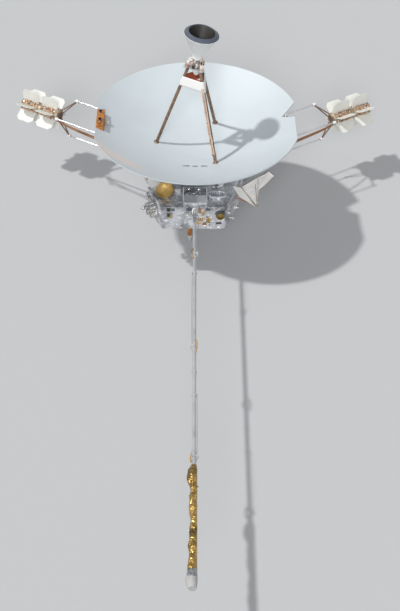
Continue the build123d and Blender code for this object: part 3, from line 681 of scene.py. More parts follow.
def cloth(name, colour):
    """Woven outer layer of a thermal blanket, with pressed creases."""
    f = Finish(name, roughness=0.72)
    f.shader.inputs["Sheen Weight"].default_value = 0.15
    fold = f.facets(9.0)
    shade = f.weighed(f.cloud(5.0, 6.0), 0.7, fold, 0.35)
    f.colour(f.ramp(shade, [(0.28, tint(colour, 0.80)), (0.50, colour), (0.80, tint(colour, 1.05))]))
    weave = f.maths("MULTIPLY", f.maths("ADD", f.wave(420.0, "X"), f.wave(420.0, "Z")), 0.12)
    f.relief(f.maths("ADD", weave, fold), 0.004)


def dish_coat(name, colour):
    """Pale dish paint: cool grey-white with faint weathering, warmer in one streak at the lower left."""
    f = Finish(name, roughness=0.5)
    base = f.ramp(f.cloud(1.1, 5.0, None, 0.5),
                  [(0.30, tint(colour, 0.955)), (0.55, colour), (0.80, tint(colour, 1.02))])
    slant = f.node("SeparateXYZ", {"Vector": f.turned(turn=(0, 0, radians(-60)))})
    away = f.maths("ABSOLUTE", f.maths("ADD", slant.outputs["X"], 1.126), 0)
    across = f.range(f.maths("MULTIPLY", away, 6.0), 0.9, 0.0)
    along = f.range(f.maths("MULTIPLY", f.maths("SUBTRACT", slant.outputs["Y"], 0.02), 3.3), 0.0, 1.0)
    warm = (colour[0] * 1.28, colour[1] * 1.02, colour[2] * 0.90)
    f.colour(f.blend(f.maths("MULTIPLY", across, along), base, warm))
    f.rough(f.cloud(14.0, 5.0), 0.42, 0.60)
    f.relief(f.cloud(160.0, 3.0), 0.0005, 0.5)


def cell_board(name, colour):
    """Dark sheet of small pressure cells in rows."""
    f = Finish(name, metallic=0.3)
    cells = f.facets(26.0, None, 0.15)
    f.colour(f.ramp(cells, [(0.18, colour), (0.50, tint(colour, 0.55)), (0.62, tint(colour, 1.5))]))
    f.rough(f.cloud(30.0, 4.0), 0.30, 0.55)
    f.relief(cells, 0.002)


COLOURS = {
    "dish_paint": (0.560, 0.615, 0.650),
    "white_paint": (0.800, 0.800, 0.790),
    "silver_film": (0.780, 0.790, 0.820),
    # Painted dark reflections and crease shade for the silver films.
    "lavender_shade": (0.105, 0.115, 0.145),
    "gold_film": (0.740, 0.480, 0.160),
    "orange_film": (0.620, 0.240, 0.060),
    # Amber lining darkened to red: painted shade inside the collar.
    "liner_film": (0.500, 0.080, 0.020),
    "copper_wrap": (0.275, 0.175, 0.115),
    "fin_paint": (0.740, 0.745, 0.700),
    "tan_core": (0.400, 0.315, 0.225),
    "rod_metal": (0.760, 0.755, 0.770),
    "boom_metal": (0.560, 0.570, 0.580),
    "cloth": (0.860, 0.840, 0.810),
    "dark_metal": (0.060, 0.062, 0.066),
}


def finishes():
    """Make every material."""
    store = bpy.context.scene.probe
    colour = {key: tuple(getattr(store, key)) for key in COLOURS}
    white, silver, gold = colour["white_paint"], colour["silver_film"], colour["gold_film"]
    dish_coat("dish_paint", colour["dish_paint"])
    paint("white_paint", white)
    paint("fin_paint", colour["fin_paint"], 0.55, 0.86, 5.0, 40.0)
    paint("grey_paint", (0.30, 0.31, 0.31), 0.5, 0.85, 6.0)
    # Near-black inside of the horn: painted shade of its cavity.
    paint("dark_inside", (0.022, 0.021, 0.018), 0.5, 0.6, 5.0)
    paint("rim_band", (0.085, 0.100, 0.135), 0.4, 0.8, 6.0)
    metal("dark_gold", (0.33, 0.23, 0.07), (0.30, 0.5), (1, 1, 1), 50.0, 0.6)
    # Each film's second colour is painted dark reflection and crease shade; the silver films take the
    # lavender colour for it.
    film("silver_film", silver, colour["lavender_shade"], 8.0, 0.72, (0.20, 0.38), 0.034)
    film("wrinkled_film", tint(silver, 0.8), tint(colour["lavender_shade"], 0.4),
         16.0, 0.95, (0.16, 0.34), 0.040)
    film("pale_film", tint(white, 0.98), tint(silver, 0.55), 14.0, 0.35, (0.28, 0.5), 0.006)
    film("smooth_film", tint(silver, 1.08), tint(silver, 0.6), 4.0, 0.60, (0.30, 0.45), 0.006)
    film("gold_film", gold, tint(gold, 0.30), 24.0, 0.85, (0.20, 0.40), 0.010)
    film("bowl_film", (0.66, 0.45, 0.15), (0.42, 0.26, 0.07), 9.0, 0.45, (0.40, 0.55), 0.006)
    film("sleeve_film", tint(gold, 0.82), tint(gold, 0.10), 13.0, 0.92, (0.16, 0.36), 0.030)
    film("orange_film", colour["orange_film"], tint(colour["orange_film"], 0.35),
         22.0, 0.4, (0.28, 0.5), 0.004)
    # Collar lining: amber film painted darker red as shade.
    film("liner_film", colour["liner_film"], tint(colour["liner_film"], 0.30),
         18.0, 0.3, (0.3, 0.5), 0.004)
    film("copper_wrap", colour["copper_wrap"], tint(colour["copper_wrap"], 0.22),
         30.0, 0.3, (0.35, 0.6), 0.003)
    film("rose_film", (0.70, 0.45, 0.36), (0.22, 0.10, 0.07), 26.0, 0.6, (0.22, 0.45), 0.004)
    metal("rod_metal", colour["rod_metal"], (0.22, 0.40))
    metal("boom_metal", colour["boom_metal"], (0.32, 0.52), (9, 0.6, 9), 30.0, 0.55)
    metal("bracket_metal", (0.60, 0.60, 0.59), (0.28, 0.48), (1, 1, 1), 24.0)
    metal("dark_metal", colour["dark_metal"], (0.30, 0.55), (1, 1, 1), 20.0, 0.6)
    metal("steel", (0.45, 0.45, 0.44), (0.25, 0.45), (1, 1, 6), 26.0)
    metal("brown_metal", (0.20, 0.135, 0.10), (0.35, 0.6), (1, 1, 1), 30.0, 0.5)
    metal("copper_tube", (0.62, 0.32, 0.17), (0.25, 0.45), (1, 1, 1), 30.0, 0.8)
    metal("tan_core", colour["tan_core"], (0.35, 0.6), (1, 1, 1), 34.0, 0.35)
    metal("louvre_metal", (0.72, 0.73, 0.75), (0.14, 0.30), (1, 1, 1), 12.0, 0.95)
    metal("cable_tan", (0.60, 0.42, 0.31), (0.45, 0.65), (1, 1, 1), 60.0, 0.05)
    metal("cable_pale", (0.78, 0.66, 0.56), (0.45, 0.65), (1, 1, 1), 60.0, 0.05)
    cloth("blanket_cloth", colour["cloth"])
    cloth("harness_cloth", (0.42, 0.185, 0.085))
    cloth("sensor_cloth", (0.46, 0.455, 0.45))
    cell_board("panel_cells", (0.105, 0.120, 0.110))


def look(name):
    """A finish by name."""
    if not FINISHES:
        finishes()
    return FINISHES[name]


def repaint(table):
    """Give CAD nodes that stay a procedural material."""
    for node, name in table:
        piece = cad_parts[node]
        piece.data.materials.clear()
        piece.data.materials.append(look(name))


# Settings

def swatch(label, key):
    """Colour setting."""
    return FloatVectorProperty(name=label, description=f"Colour of the {label.lower()}",
                               default=COLOURS[key], size=3, min=0, max=1, subtype="COLOR")


class ProbeSettings(bpy.types.PropertyGroup):
    """Sizes and colours that a user may change."""

    dish_paint: swatch("Dish paint", "dish_paint")
    white_paint: swatch("White paint", "white_paint")
    silver_film: swatch("Silver film", "silver_film")
    lavender_shade: swatch("Painted film shade", "lavender_shade")
    gold_film: swatch("Gold film", "gold_film")
    orange_film: swatch("Orange film", "orange_film")
    liner_film: swatch("Collar lining and painted shade", "liner_film")
    copper_wrap: swatch("Strut wrap", "copper_wrap")
    fin_paint: swatch("Fin paint", "fin_paint")
    tan_core: swatch("Generator core", "tan_core")
    rod_metal: swatch("Truss rods", "rod_metal")
    boom_metal: swatch("Boom tube", "boom_metal")
    cloth: swatch("Blanket cloth", "cloth")
    dark_metal: swatch("Dark metal", "dark_metal")
    film_depth: FloatProperty(name="Film depth", description="Height of the folds in the bus film",
                              default=0.011, min=0, max=0.02, unit="LENGTH")
    film_cell: FloatProperty(name="Film fold size", description="Typical size of one fold in the bus film",
                             default=0.150, min=0.02, max=0.3, unit="LENGTH")
    wrap_pitch: FloatProperty(name="Wrap pitch", description="Advance of the tape per turn round a strut",
                              default=0.030, min=0.01, max=0.1, unit="LENGTH")
    cable_count: IntProperty(name="Cables", description="Cables along the near tripod strut",
                             default=5, min=1, max=8)
    lanyard_radius: FloatProperty(name="Lanyard radius", description="Radius of the wires beside the boom",
                                  default=0.0022, min=0.001, max=0.006, unit="LENGTH")
    floor_drop: FloatProperty(name="Floor gap", description="Gap between the lowest point and the floor",
                              default=0.02, min=0, max=1, unit="LENGTH")
    seed: IntProperty(name="Seed", description="Start of every random pattern", default=7, min=0)


class ProbeStep:
    """What every operator here shares."""

    bl_options = {"REGISTER", "UNDO"}

    def execute(self, context):
        self.build(context.scene.probe)
        return {"FINISHED"}


# Dish

# left end, right end
DISH_SLOTS = [(-0.177, -0.087), (-0.037, 0.021), (0.074, 0.153)]
DISH_SLOT_Y = -0.530
CLIP_RADII = (1.010, 1.175)


class PROBE_OT_dish(ProbeStep, bpy.types.Operator):
    """Paint the dish and its back, and trim its slots"""

    bl_idname = "probe.dish"
    bl_label = "Dish"

    def build(self, settings):
        repaint([("dish_reflector", "dish_paint"), ("dish_hub", "silver_film"),
                 ("dish_struts", "white_paint"), ("detector_panels", "panel_cells")])
        frames = Form()
        for low, high in DISH_SLOTS:
            middle = Vector(((low + high) / 2, DISH_SLOT_Y, 0))
            middle.z = bowl_z(middle.length) + 0.001
            slope = 2 * DISH_BOWL * middle.y / DISH_R ** 2
            tilt = shift(middle) @ Matrix.Rotation(slope, 4, "X")
            for side in (-1, 1):
                rail = shift((0, side * 0.0095, 0))
                frames.add(bar((high - low + 0.008, 0.004, 0.003)), tilt @ rail)
                end = shift((side * ((high - low) / 2 + 0.002), 0, 0))
                frames.add(bar((0.004, 0.020, 0.003)), tilt @ end)
        frames.make("slot_frames", "dark_metal", "bus", "dark_coat")
        clips = []
        for k in range(12):
            for spread in (-5, 5):
                for radius in CLIP_RADII:
                    back = bowl_z(radius) - DISH_WALL - 0.010
                    clips.append((polar(30 * k + spread, radius, back), Vector((0, 0, -1))))
        studs("panel_clips", clips, 0.007, 0.008, "bracket_metal", "bus")


# Bus

class PROBE_OT_bus(ProbeStep, bpy.types.Operator):
    """Wrap the compartment and the bay in crumpled film and finish the launch ring"""

    bl_idname = "probe.bus"
    bl_label = "Bus"

    def build(self, settings):
        depth, cell = settings.film_depth, settings.film_cell
        film_wrap("bay_film", "instrument_bay", "silver_film",
                  0.010, depth, cell, settings.seed)
        film_wrap("compartment_film", "equipment_compartment", "silver_film",
                  0.014, depth * 0.8, cell * 1.3, settings.seed + 20, -0.001)
        repaint([("launch_ring", "steel"), ("ring_posts", "bracket_metal"),
                 ("louvre_ring", "louvre_metal")])
        seats = []
        for k in range(24):
            seats.append((polar(15 * k + 7.5, 0.318, 0.060), Vector((0, 0, 1))))
        studs("ring_screws", seats, 0.006, 0.008, "steel", "bus")
        hubs = [(polar(12 * k, 0.100, BUS_LOW + 0.003), Vector((0, 0, -1))) for k in range(30)]
        studs("louvre_pivots", hubs, 0.004, 0.006, "bracket_metal", "bus", 8)


# Tripod

def strut_ends(azimuth):
    """Foot and head of a tripod strut's axis."""
    return polar(azimuth, TRIPOD_FOOT_R, bowl_z(TRIPOD_FOOT_R)), polar(azimuth, TRIPOD_HEAD_R, FEED_Z)


class PROBE_OT_tripod(ProbeStep, bpy.types.Operator):
    """Wrap the tripod struts in amber tape and add the cables, collar panels and lining"""

    bl_idname = "probe.tripod"
    bl_label = "Tripod"

    def build(self, settings):
        for index, (name, azimuth) in enumerate(TRIPOD_AZIMUTHS.items()):
            self.strut(settings, name, azimuth, settings.seed + 10 * index)
        self.cables(settings)
        repaint([("feed_collar", "liner_film")])
        self.lining()

    def strut(self, settings, name, azimuth, seed):
        foot, head = strut_ends(azimuth)
        ahead = (head - foot).normalized()
        tape = taped(settings.wrap_pitch, 0.0022, 0.0009, 0.03, seed)
        start = foot + ahead * 0.004
        form = Form().add(skin(start, head - ahead * 0.009, TRIPOD_STRUT_R - 0.0012, 0.0065, tape))
        pad = [(0, -0.030), (0.034, -0.030), (0.038, -0.024), (0.038, 0.002)]
        pad += [(0.034, 0.008), (0.026, 0.016), (0, 0.016)]
        form.add(lathe(pad, 32), aimed(foot, ahead), look=1)
        piece = form.make(f"wrapped_strut_{name}", ["copper_wrap", "brown_metal"], "bus", "strut_wrap")
        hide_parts(f"tripod_strut_{name}")

    def cables(self, settings):
        foot, head = strut_ends(TRIPOD_AZIMUTHS["near"])
        ahead = (head - foot).normalized()
        side = ahead.cross(Vector((0, 0, 1))).normalized()
        front = side.cross(ahead).normalized()
        form = Form()
        rng = np.random.default_rng(settings.seed)
        for k in range(settings.cable_count):
            turn = radians(-50 + 110 * k / max(1, settings.cable_count - 1))
            away = side * (-cos(turn)) + front * sin(turn)
            points = []
            for s in np.linspace(0.10, 0.82, 16):
                wander = rng.normal(size=2) * 0.0022
                centre = foot.lerp(head, s)
                points.append(centre + away * (TRIPOD_STRUT_R + 0.0075 + wander[0]) + side * wander[1])
            form.add(tube(bend(points, 4), 0.0052, 8), look=k % 3)
        looks = ["cable_tan", "cable_pale", "cable_tan"]
        form.make("strut_cables", looks, "bus", "strut_wrap")
        route = [foot.lerp(head, 0.09) - side * 0.006, foot.lerp(head, 0.80) - side * 0.006]
        bands("cable_ties", route, 0.0300, 0.004, 0.140, "copper_wrap", "bus")

    def lining(self):
        """Thin white sleeve that wraps round the outside of the three struts, with an amber lining painted
        darker red as shade.
        """
        wall = 0.003
        shells = []
        for extra in (TRIPOD_STRUT_R + 0.0075, TRIPOD_STRUT_R + 0.0075 - wall):
            shells.append([self.rounded(z, extra) for z in np.linspace(COLLAR_LOW, COLLAR_HIGH, 9)])
        outer, inner = shells
        form = Form().add(self.skinned(outer)).add(self.skinned(inner), look=1)
        form.add(self.skinned([outer[0], inner[0]])).add(self.skinned([outer[-1], inner[-1]]))
        piece = form.make("collar_sleeve", ["white_paint", "liner_film"], "bus", "collar_paint", 50)
        closed(piece)

    def rounded(self, z, extra):
        """Three-cornered outline round the struts at a height."""
        share = (z - bowl_z(TRIPOD_FOOT_R)) / (FEED_Z - bowl_z(TRIPOD_FOOT_R))
        reach = TRIPOD_FOOT_R + (TRIPOD_HEAD_R - TRIPOD_FOOT_R) * share
        outline = []
        for a in (-60, 60, 180):
            for turn in range(-60, 61, 10):
                p = polar(a, reach) + polar(a + turn, extra)
                outline.append(Vector((p.x, p.y, z)))
        return outline

    def skinned(self, rows):
        """Open band through rows of points."""
        count = len(rows[0])
        points = [p for row in rows for p in row]
        faces = []
        for r in range(len(rows) - 1):
            for k in range(count):
                n = (k + 1) % count
                faces.append([r * count + k, r * count + n, (r + 1) * count + n, (r + 1) * count + k])
        return points, faces


# Feed and horn

def horn_place():
    """Matrix at the foot of the tilted horn."""
    tilt = Matrix.Rotation(radians(HORN_TILT), 4, "Y")
    return shift((0.012, 0, CORE_TOP + 0.022)) @ tilt


# radius, height over the platform
FEED_CORE = [
    (0, 0), (0.050, 0), (0.050, 0.006), (0.034, 0.008), (0.034, 0.034), (0.046, 0.036),
    (0.046, 0.044), (0.036, 0.046), (0.036, 0.070), (0.050, 0.072), (0.052, 0.082), (0.044, 0.086),
    (0.046, 0.100), (0, 0.100),
]
# place over the platform, size, finish
FEED_BOXES = [
    ((-0.112, 0.002, 0.020), (0.058, 0.050, 0.040), 4), ((-0.104, 0.006, 0.052), (0.036, 0.030, 0.026), 0),
    ((-0.068, 0.004, 0.082), (0.046, 0.030, 0.030), 0), ((0.066, -0.060, 0.024), (0.044, 0.036, 0.048), 0),
    ((0.072, -0.052, 0.064), (0.026, 0.022, 0.032), 3), ((0.060, -0.012, 0.086), (0.034, 0.028, 0.024), 0),
    ((0.060, 0.074, 0.030), (0.052, 0.034, 0.060), 2), ((-0.030, 0.064, 0.040), (0.030, 0.028, 0.080), 1),
    ((0.090, 0.030, 0.022), (0.026, 0.040, 0.044), 3), ((-0.040, -0.058, 0.018), (0.040, 0.026, 0.036), 3),
    ((0.006, -0.062, 0.040), (0.026, 0.020, 0.052), 0), ((0.084, -0.086, 0.014), (0.030, 0.024, 0.026), 1),
]
# points of each wave guide over the platform
FEED_GUIDES = [
    [(-0.095, 0.014, 0.045), (-0.094, 0.014, 0.088), (-0.072, 0.012, 0.112), (-0.044, 0.008, 0.114)],
    [(0.070, -0.062, 0.045), (0.084, -0.066, 0.080), (0.076, -0.048, 0.114), (0.050, -0.026, 0.122)],
    [(0.060, 0.076, 0.060), (0.082, 0.074, 0.092), (0.076, 0.046, 0.116), (0.052, 0.022, 0.122)],
    [(-0.046, -0.052, 0.030), (-0.062, -0.062, 0.058), (-0.030, -0.064, 0.088), (-0.008, -0.050, 0.108)],
]


class PROBE_OT_feed(ProbeStep, bpy.types.Operator):
    """Build the horn, the feed cone and the plumbing round the feed core"""

    bl_idname = "probe.feed"
    bl_label = "Feed and horn"

    def build(self, settings):
        repaint([("horn_seat", "white_paint")])
        self.horn()
        self.frame_plate()
        self.cone()
        self.plumbing(settings)

    def horn(self):
        """White flare, a blue-grey bevelled rim and a near-black inside painted as shade."""
        mouth, w, lip = HORN_MOUTH_R, HORN_WALL, HORN_LIP
        shell = [(0, 0), (HORN_NECK_R, 0), (HORN_NECK_R, HORN_NECK - 0.006)]
        shell += [(HORN_NECK_R + 0.004, HORN_NECK), (mouth, lip - 0.006), (mouth + 0.003, lip - 0.004)]
        shell += [(mouth + 0.003, lip), (mouth, lip + 0.001)]
        band = [shell[-1], (HORN_EYE_R + 0.004, HORN_LENGTH - 0.001), (HORN_EYE_R, HORN_LENGTH)]
        band.append((HORN_EYE_R - w, HORN_LENGTH - w))
        throat = HORN_NECK_R - w
        inside = [band[-1]]
        steps = 24
        for k in range(1, steps + 1):
            radius = HORN_EYE_R - w + (throat - HORN_EYE_R + w) * k / steps
            height = HORN_LENGTH - w + (HORN_NECK - HORN_LENGTH + w) * k / steps
            inside += [(radius, height + 0.002), (radius - 0.0015, height)]
        inside += [(throat, w), (0, w)]
        place = horn_place()
        form = Form()
        for profile, kind in ((shell, 0), (band, 2), (inside, 1)):
            form.add(lathe(profile, 96), place, kind)
        piece = form.make("horn", ["white_paint", "dark_inside", "rim_band"], "bus", "horn_paint")
        closed(piece)
        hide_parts("gain_horn")
        seats = []
        for k in range(16):
            a = tau * k / 16
            p = place @ Vector(((mouth + 0.003) * cos(a), (mouth + 0.003) * sin(a), lip - 0.002))
            seats.append((p, place.to_3x3() @ Vector((cos(a), sin(a), 0))))
        studs("horn_rim_screws", seats, 0.0035, 0.003, "steel", "bus")

    def cone(self):
        profile = [(0, FEED_Z), (0.072, FEED_Z)]
        for k in range(8):
            share = k / 8
            radius = 0.072 - 0.042 * share
            height = FEED_Z - 0.002 - 0.101 * share
            profile += [(radius, height), (radius, height - 0.006), (radius - 0.002, height - 0.008)]
        profile += [(0.030, FEED_Z - 0.105), (0, FEED_Z - 0.105)]
        form = Form().add(lathe(profile, 48))
        piece = form.make("ribbed_feed_cone", "white_paint", "bus", "feed_paint")
        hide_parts("feed_cone")

    def frame_plate(self):
        """Open three-cornered frame in place of a full plate."""
        low, high = FEED_Z, FEED_Z + PLATFORM
        form = Form()
        ring = [(0.062, low), (0.084, low), (0.084, high), (0.062, high)]
        form.add(lathe(ring, 40, ring=True))
        heads = [polar(a, 0.128, (low + high) / 2) for a in TRIPOD_AZIMUTHS.values()]
        for a, head in zip(TRIPOD_AZIMUTHS.values(), heads):
            form.add(drum(0.034, low, high, 24, 0.002), shift((head.x, head.y, 0)))
            turn = Matrix.Rotation(radians(a), 4, "Z")
            arm = turn @ shift((0.100, 0, (low + high) / 2))
            form.add(bar((0.060, 0.026, PLATFORM - 0.002), 0.001), arm)
        for a, b in zip(heads, heads[1:] + heads[:1]):
            form.add(bar((0.012, 0.012, (b - a).length), 0.001), aimed((a + b) / 2, b - a), 1)
        piece = form.make("open_platform", ["bracket_metal", "steel"], "bus", "feed_metal")
        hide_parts("feed_platform")

    def plumbing(self, settings):
        """Stacked core with small boxes, wave guides and coax lines up to the horn's neck."""
        top = FEED_Z + PLATFORM
        form = Form()
        form.add(lathe(FEED_CORE, 40), shift((0, 0, top)), 2)
        for (x, y, z), size, kind in FEED_BOXES:
            form.add(bar(size, 0.002), shift((x, y, top + z)), kind)
        for k, route in enumerate(FEED_GUIDES):
            route = [Vector((x, y, top + z)) for x, y, z in route]
            form.add(tube(bend(route, 8), 0.010 if k < 2 else 0.007, 12, 0.6), look=(0, 1)[k % 2])
            for end, ahead in ((route[0], (0, 0, 1)), (route[-1], route[-1] - route[-2])):
                form.add(drum(0.017, -0.004, 0.004, 16), aimed(end, ahead), 2)
        rng = np.random.default_rng(settings.seed + 5)
        for k in range(12):
            a = rng.uniform(0, tau)
            low = Vector((0.082 * cos(a), 0.082 * sin(a), top + rng.uniform(0.0, 0.03)))
            high = Vector((0.050 * cos(a + 0.8), 0.050 * sin(a + 0.8), top + rng.uniform(0.06, 0.11)))
            mid = (low + high) / 2 + Vector((cos(a), sin(a), 0)) * rng.uniform(0.008, 0.022)
            form.add(tube(bend([low, mid, high], 8), rng.uniform(0.0022, 0.0040), 6), look=(1, 3, 4)[k % 3])
        looks = ["white_paint", "cable_tan", "bracket_metal", "dark_metal", "rose_film"]
        piece = form.make("feed_plumbing", looks, "bus", "feed_metal")
        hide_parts("feed_electronics")
        seats = []
        for k in range(12):
            a = tau * k / 12
            seats.append((Vector((0.073 * cos(a), 0.073 * sin(a), top + 0.001)), Vector((0, 0, 1))))
        studs("feed_screws", seats, 0.0035, 0.005, "steel", "bus")


def closed(piece):
    """Merge a piece's seams and point its faces outwards again."""
    work = bmesh.new()
    work.from_mesh(piece.data)
    bmesh.ops.remove_doubles(work, verts=work.verts, dist=1e-5)
    bmesh.ops.recalc_face_normals(work, faces=work.faces)
    work.to_mesh(piece.data)
    work.free()


# Thrusters

def nozzle(radius_throat, radius_mouth, length):
    """Thin bell, open at its mouth, pointing up from its throat."""
    outer = [(0, 0), (radius_throat, 0), (radius_throat * 1.15, length * 0.3), (radius_mouth, length)]
    inner = [(radius_mouth - 0.0015, length), (radius_throat, length * 0.35), (0, length * 0.3)]
    return lathe(outer + inner, 24)


class PROBE_OT_thrusters(ProbeStep, bpy.types.Operator):
    """Wrap the left thruster box in orange film and build every nozzle"""

    bl_idname = "probe.thrusters"
    bl_label = "Thrusters"

    def build(self, settings):
        low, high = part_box("thruster_box_left")
        mid_y = (low.y + high.y) / 2
        cx = (low.x + high.x) / 2
        base, top = low.z + 0.040, high.z - 0.040
        form = Form().add(bar((high.x - low.x, high.y - low.y, top - base), 0.006),
                          shift((cx, mid_y, (base + top) / 2)))
        wrap = form.make("thruster_film", "orange_film", "bus", "orange_film")
        self.crumple(wrap, settings)
        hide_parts("thruster_box_left")
        form = Form()
        for y in (mid_y - 0.09, mid_y + 0.09):
            form.add(nozzle(0.010, 0.022, 0.040), shift((cx, y, top)))
            form.add(nozzle(0.010, 0.022, 0.040), aimed((cx, y, base), (0, 0, -1)))
            form.add(drum(0.016, -0.004, 0.006), shift((cx, y, top)), 1)
        sensor_low, sensor_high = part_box("sun_sensor")
        at = (sensor_low + sensor_high) / 2
        form.add(lathe([(0.030, 0), (0.034, 0), (0.034, 0.006), (0.030, 0.006)], 32, ring=True),
                 shift((at.x, at.y, sensor_high.z - 0.016)), 1)
        for k in range(3):
            spot = polar(120 * k + 30, 0.036, 0)
            form.add(bar((0.016, 0.010, 0.020), 0.001), shift(at + spot + Vector((0, 0, 0.010))), 1)
        form.make("left_nozzles", ["dark_metal", "bracket_metal"], "bus", "thruster_metal")
        repaint([("thruster_pair_right", "bracket_metal"), ("sun_sensor", "pale_film")])
        self.lines()

    def crumple(self, piece, settings):
        grid = piece.modifiers.new("grid", "REMESH")
        grid.mode = "VOXEL"
        grid.voxel_size = 0.005
        mesh = evaluated(piece)
        displaced(mesh, 0.0035, 0.035, settings.seed + 9, -0.002)
        mesh.shade_smooth()
        mesh.materials.clear()
        mesh.materials.append(look("orange_film"))
        piece.data = mesh

    def lines(self):
        """Feed lines and collars on the right pair."""
        low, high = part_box("thruster_pair_right")
        x, y = high.x - 0.033, (low.y + high.y) / 2
        form = Form()
        for side in (-1, 1):
            route = [(x, y + side * 0.030, high.z - 0.06), (x - 0.05, y + side * 0.034, high.z - 0.09),
                     (x - 0.12, y + side * 0.024, low.z + 0.075)]
            form.add(tube(bend(route, 8), 0.0035, 8), look=1)
        for z in (high.z - 0.046, low.z + 0.046):
            form.add(drum(0.018, -0.005, 0.005, 20), shift((x, y, z)))
        form.make("right_thruster_lines", ["dark_metal", "copper_tube"], "bus", "thruster_metal")


# Aft antenna

class PROBE_OT_aft(ProbeStep, bpy.types.Operator):
    """Wrap the aft mast in orange film"""

    bl_idname = "probe.aft"
    bl_label = "Aft antenna"

    def build(self, settings):
        low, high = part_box("aft_mast")
        middle = (low + high) / 2
        radius = 0.030
        wrap = crumpled(0.0022, 0.035, settings.seed + 31)
        start, end = (middle.x, middle.y, BUS_LOW - 0.001), (middle.x, middle.y, low.z)
        form = Form().add(skin(start, end, radius - 0.001, 0.006, wrap))
        form.add(drum(0.060, BUS_LOW - 0.012, BUS_LOW), shift((middle.x, middle.y, 0)), 1)
        piece = form.make("mast_wrap", ["orange_film", "bracket_metal"], "bus", "mast_film")
        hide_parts("aft_mast")
        repaint([("aft_cone", "pale_film")])
        route = [Vector(start) - Vector((0, 0, 0.05)), Vector(end) + Vector((0, 0, 0.02))]
        bands("mast_ties", route, radius + 0.0016, 0.012, 0.115, "copper_wrap", "bus")


# Instruments

def wall_place(side, share, z):
    """Matrix on one of the bay's slanted front walls, +Z out of the wall."""
    a = Vector((BAY_MID_X + side * BAY_FRONT_HALF, BAY_FRONT_Y, 0))
    b = Vector((BAY_MID_X + side * BAY_SIDE_HALF, BAY_SIDE_Y, 0))
    at = a + (b - a) * share
    run = (b - a).normalized()
    out = Vector((-run.y, run.x, 0)) * -side
    place = Matrix((run, out.cross(run), out)).transposed().to_4x4()
    place.translation = (at.x, at.y, z)
    return place


BOWL_R = 0.114
# share of the radius, height
BOWL_PROFILE = [
    (0, -0.010), (0.228, -0.010), (0.263, 0.002), (0.65, 0.016), (0.86, 0.034), (1, 0.060),
    (0.965, 0.060), (0.83, 0.038), (0.62, 0.021), (0.45, 0.010), (0.25, 0.006), (0, 0.005),
]
# one end, other end, height
BOWL_FLAPS = [
    ((-0.47, -0.69), (-0.40, -0.640), 0.055), ((-0.40, -0.640), (-0.305, -0.655), 0.080),
    ((-0.305, -0.655), (-0.276, -0.75), 0.078),
]
# near edge, far edge, their heights, fold height, fold size
LID_SHEETS = [
    (-0.972, -0.865, 0.000, 0.014, 0.003, 0.12), (-0.862, -0.700, 0.014, 0.004, 0.009, 0.05),
]


# place on the front wall as x and z, size, finish
FRONT_BOXES = [
    ((-0.345, 0.470), (0.050, 0.022, 0.040), 1), ((-0.290, 0.465), (0.044, 0.016, 0.030), 2),
    ((-0.350, 0.380), (0.036, 0.020, 0.050), 1), ((-0.080, 0.470), (0.075, 0.024, 0.030), 2),
    ((0.060, 0.455), (0.018, 0.014, 0.070), 3), ((0.100, 0.420), (0.026, 0.014, 0.060), 0),
    ((0.080, 0.310), (0.044, 0.016, 0.040), 0), ((0.170, 0.290), (0.050, 0.018, 0.060), 0),
    ((0.130, 0.370), (0.020, 0.012, 0.080), 4), ((0.205, 0.400), (0.026, 0.016, 0.130), 4),
    ((0.045, 0.250), (0.060, 0.012, 0.024), 0), ((0.110, 0.220), (0.036, 0.012, 0.020), 3),
    ((0.160, 0.470), (0.052, 0.018, 0.022), 2), ((0.300, 0.250), (0.070, 0.014, 0.028), 1),
]
# place on the slanted wall as x and y, radius, length
BARRELS = [
    (-0.085, 0.030, 0.038, 0.078), (0, 0.042, 0.034, 0.092), (0.082, 0.030, 0.038, 0.070),
    (-0.030, -0.045, 0.032, 0.064), (0.052, -0.042, 0.030, 0.084),
]
# place, radius
LEFT_KNOBS = [
    ((-0.642, -0.640, 0.350), 0.028), ((-0.688, -0.790, 0.290), 0.026), ((-0.705, -0.760, 0.270), 0.018),
]
# corners from the lower left
WALL_SHEET = [
    (-0.580, -0.641, 0.512), (-0.455, -0.568, 0.512), (-0.454, -0.568, 0.640), (-0.628, -0.669, 0.688),
]


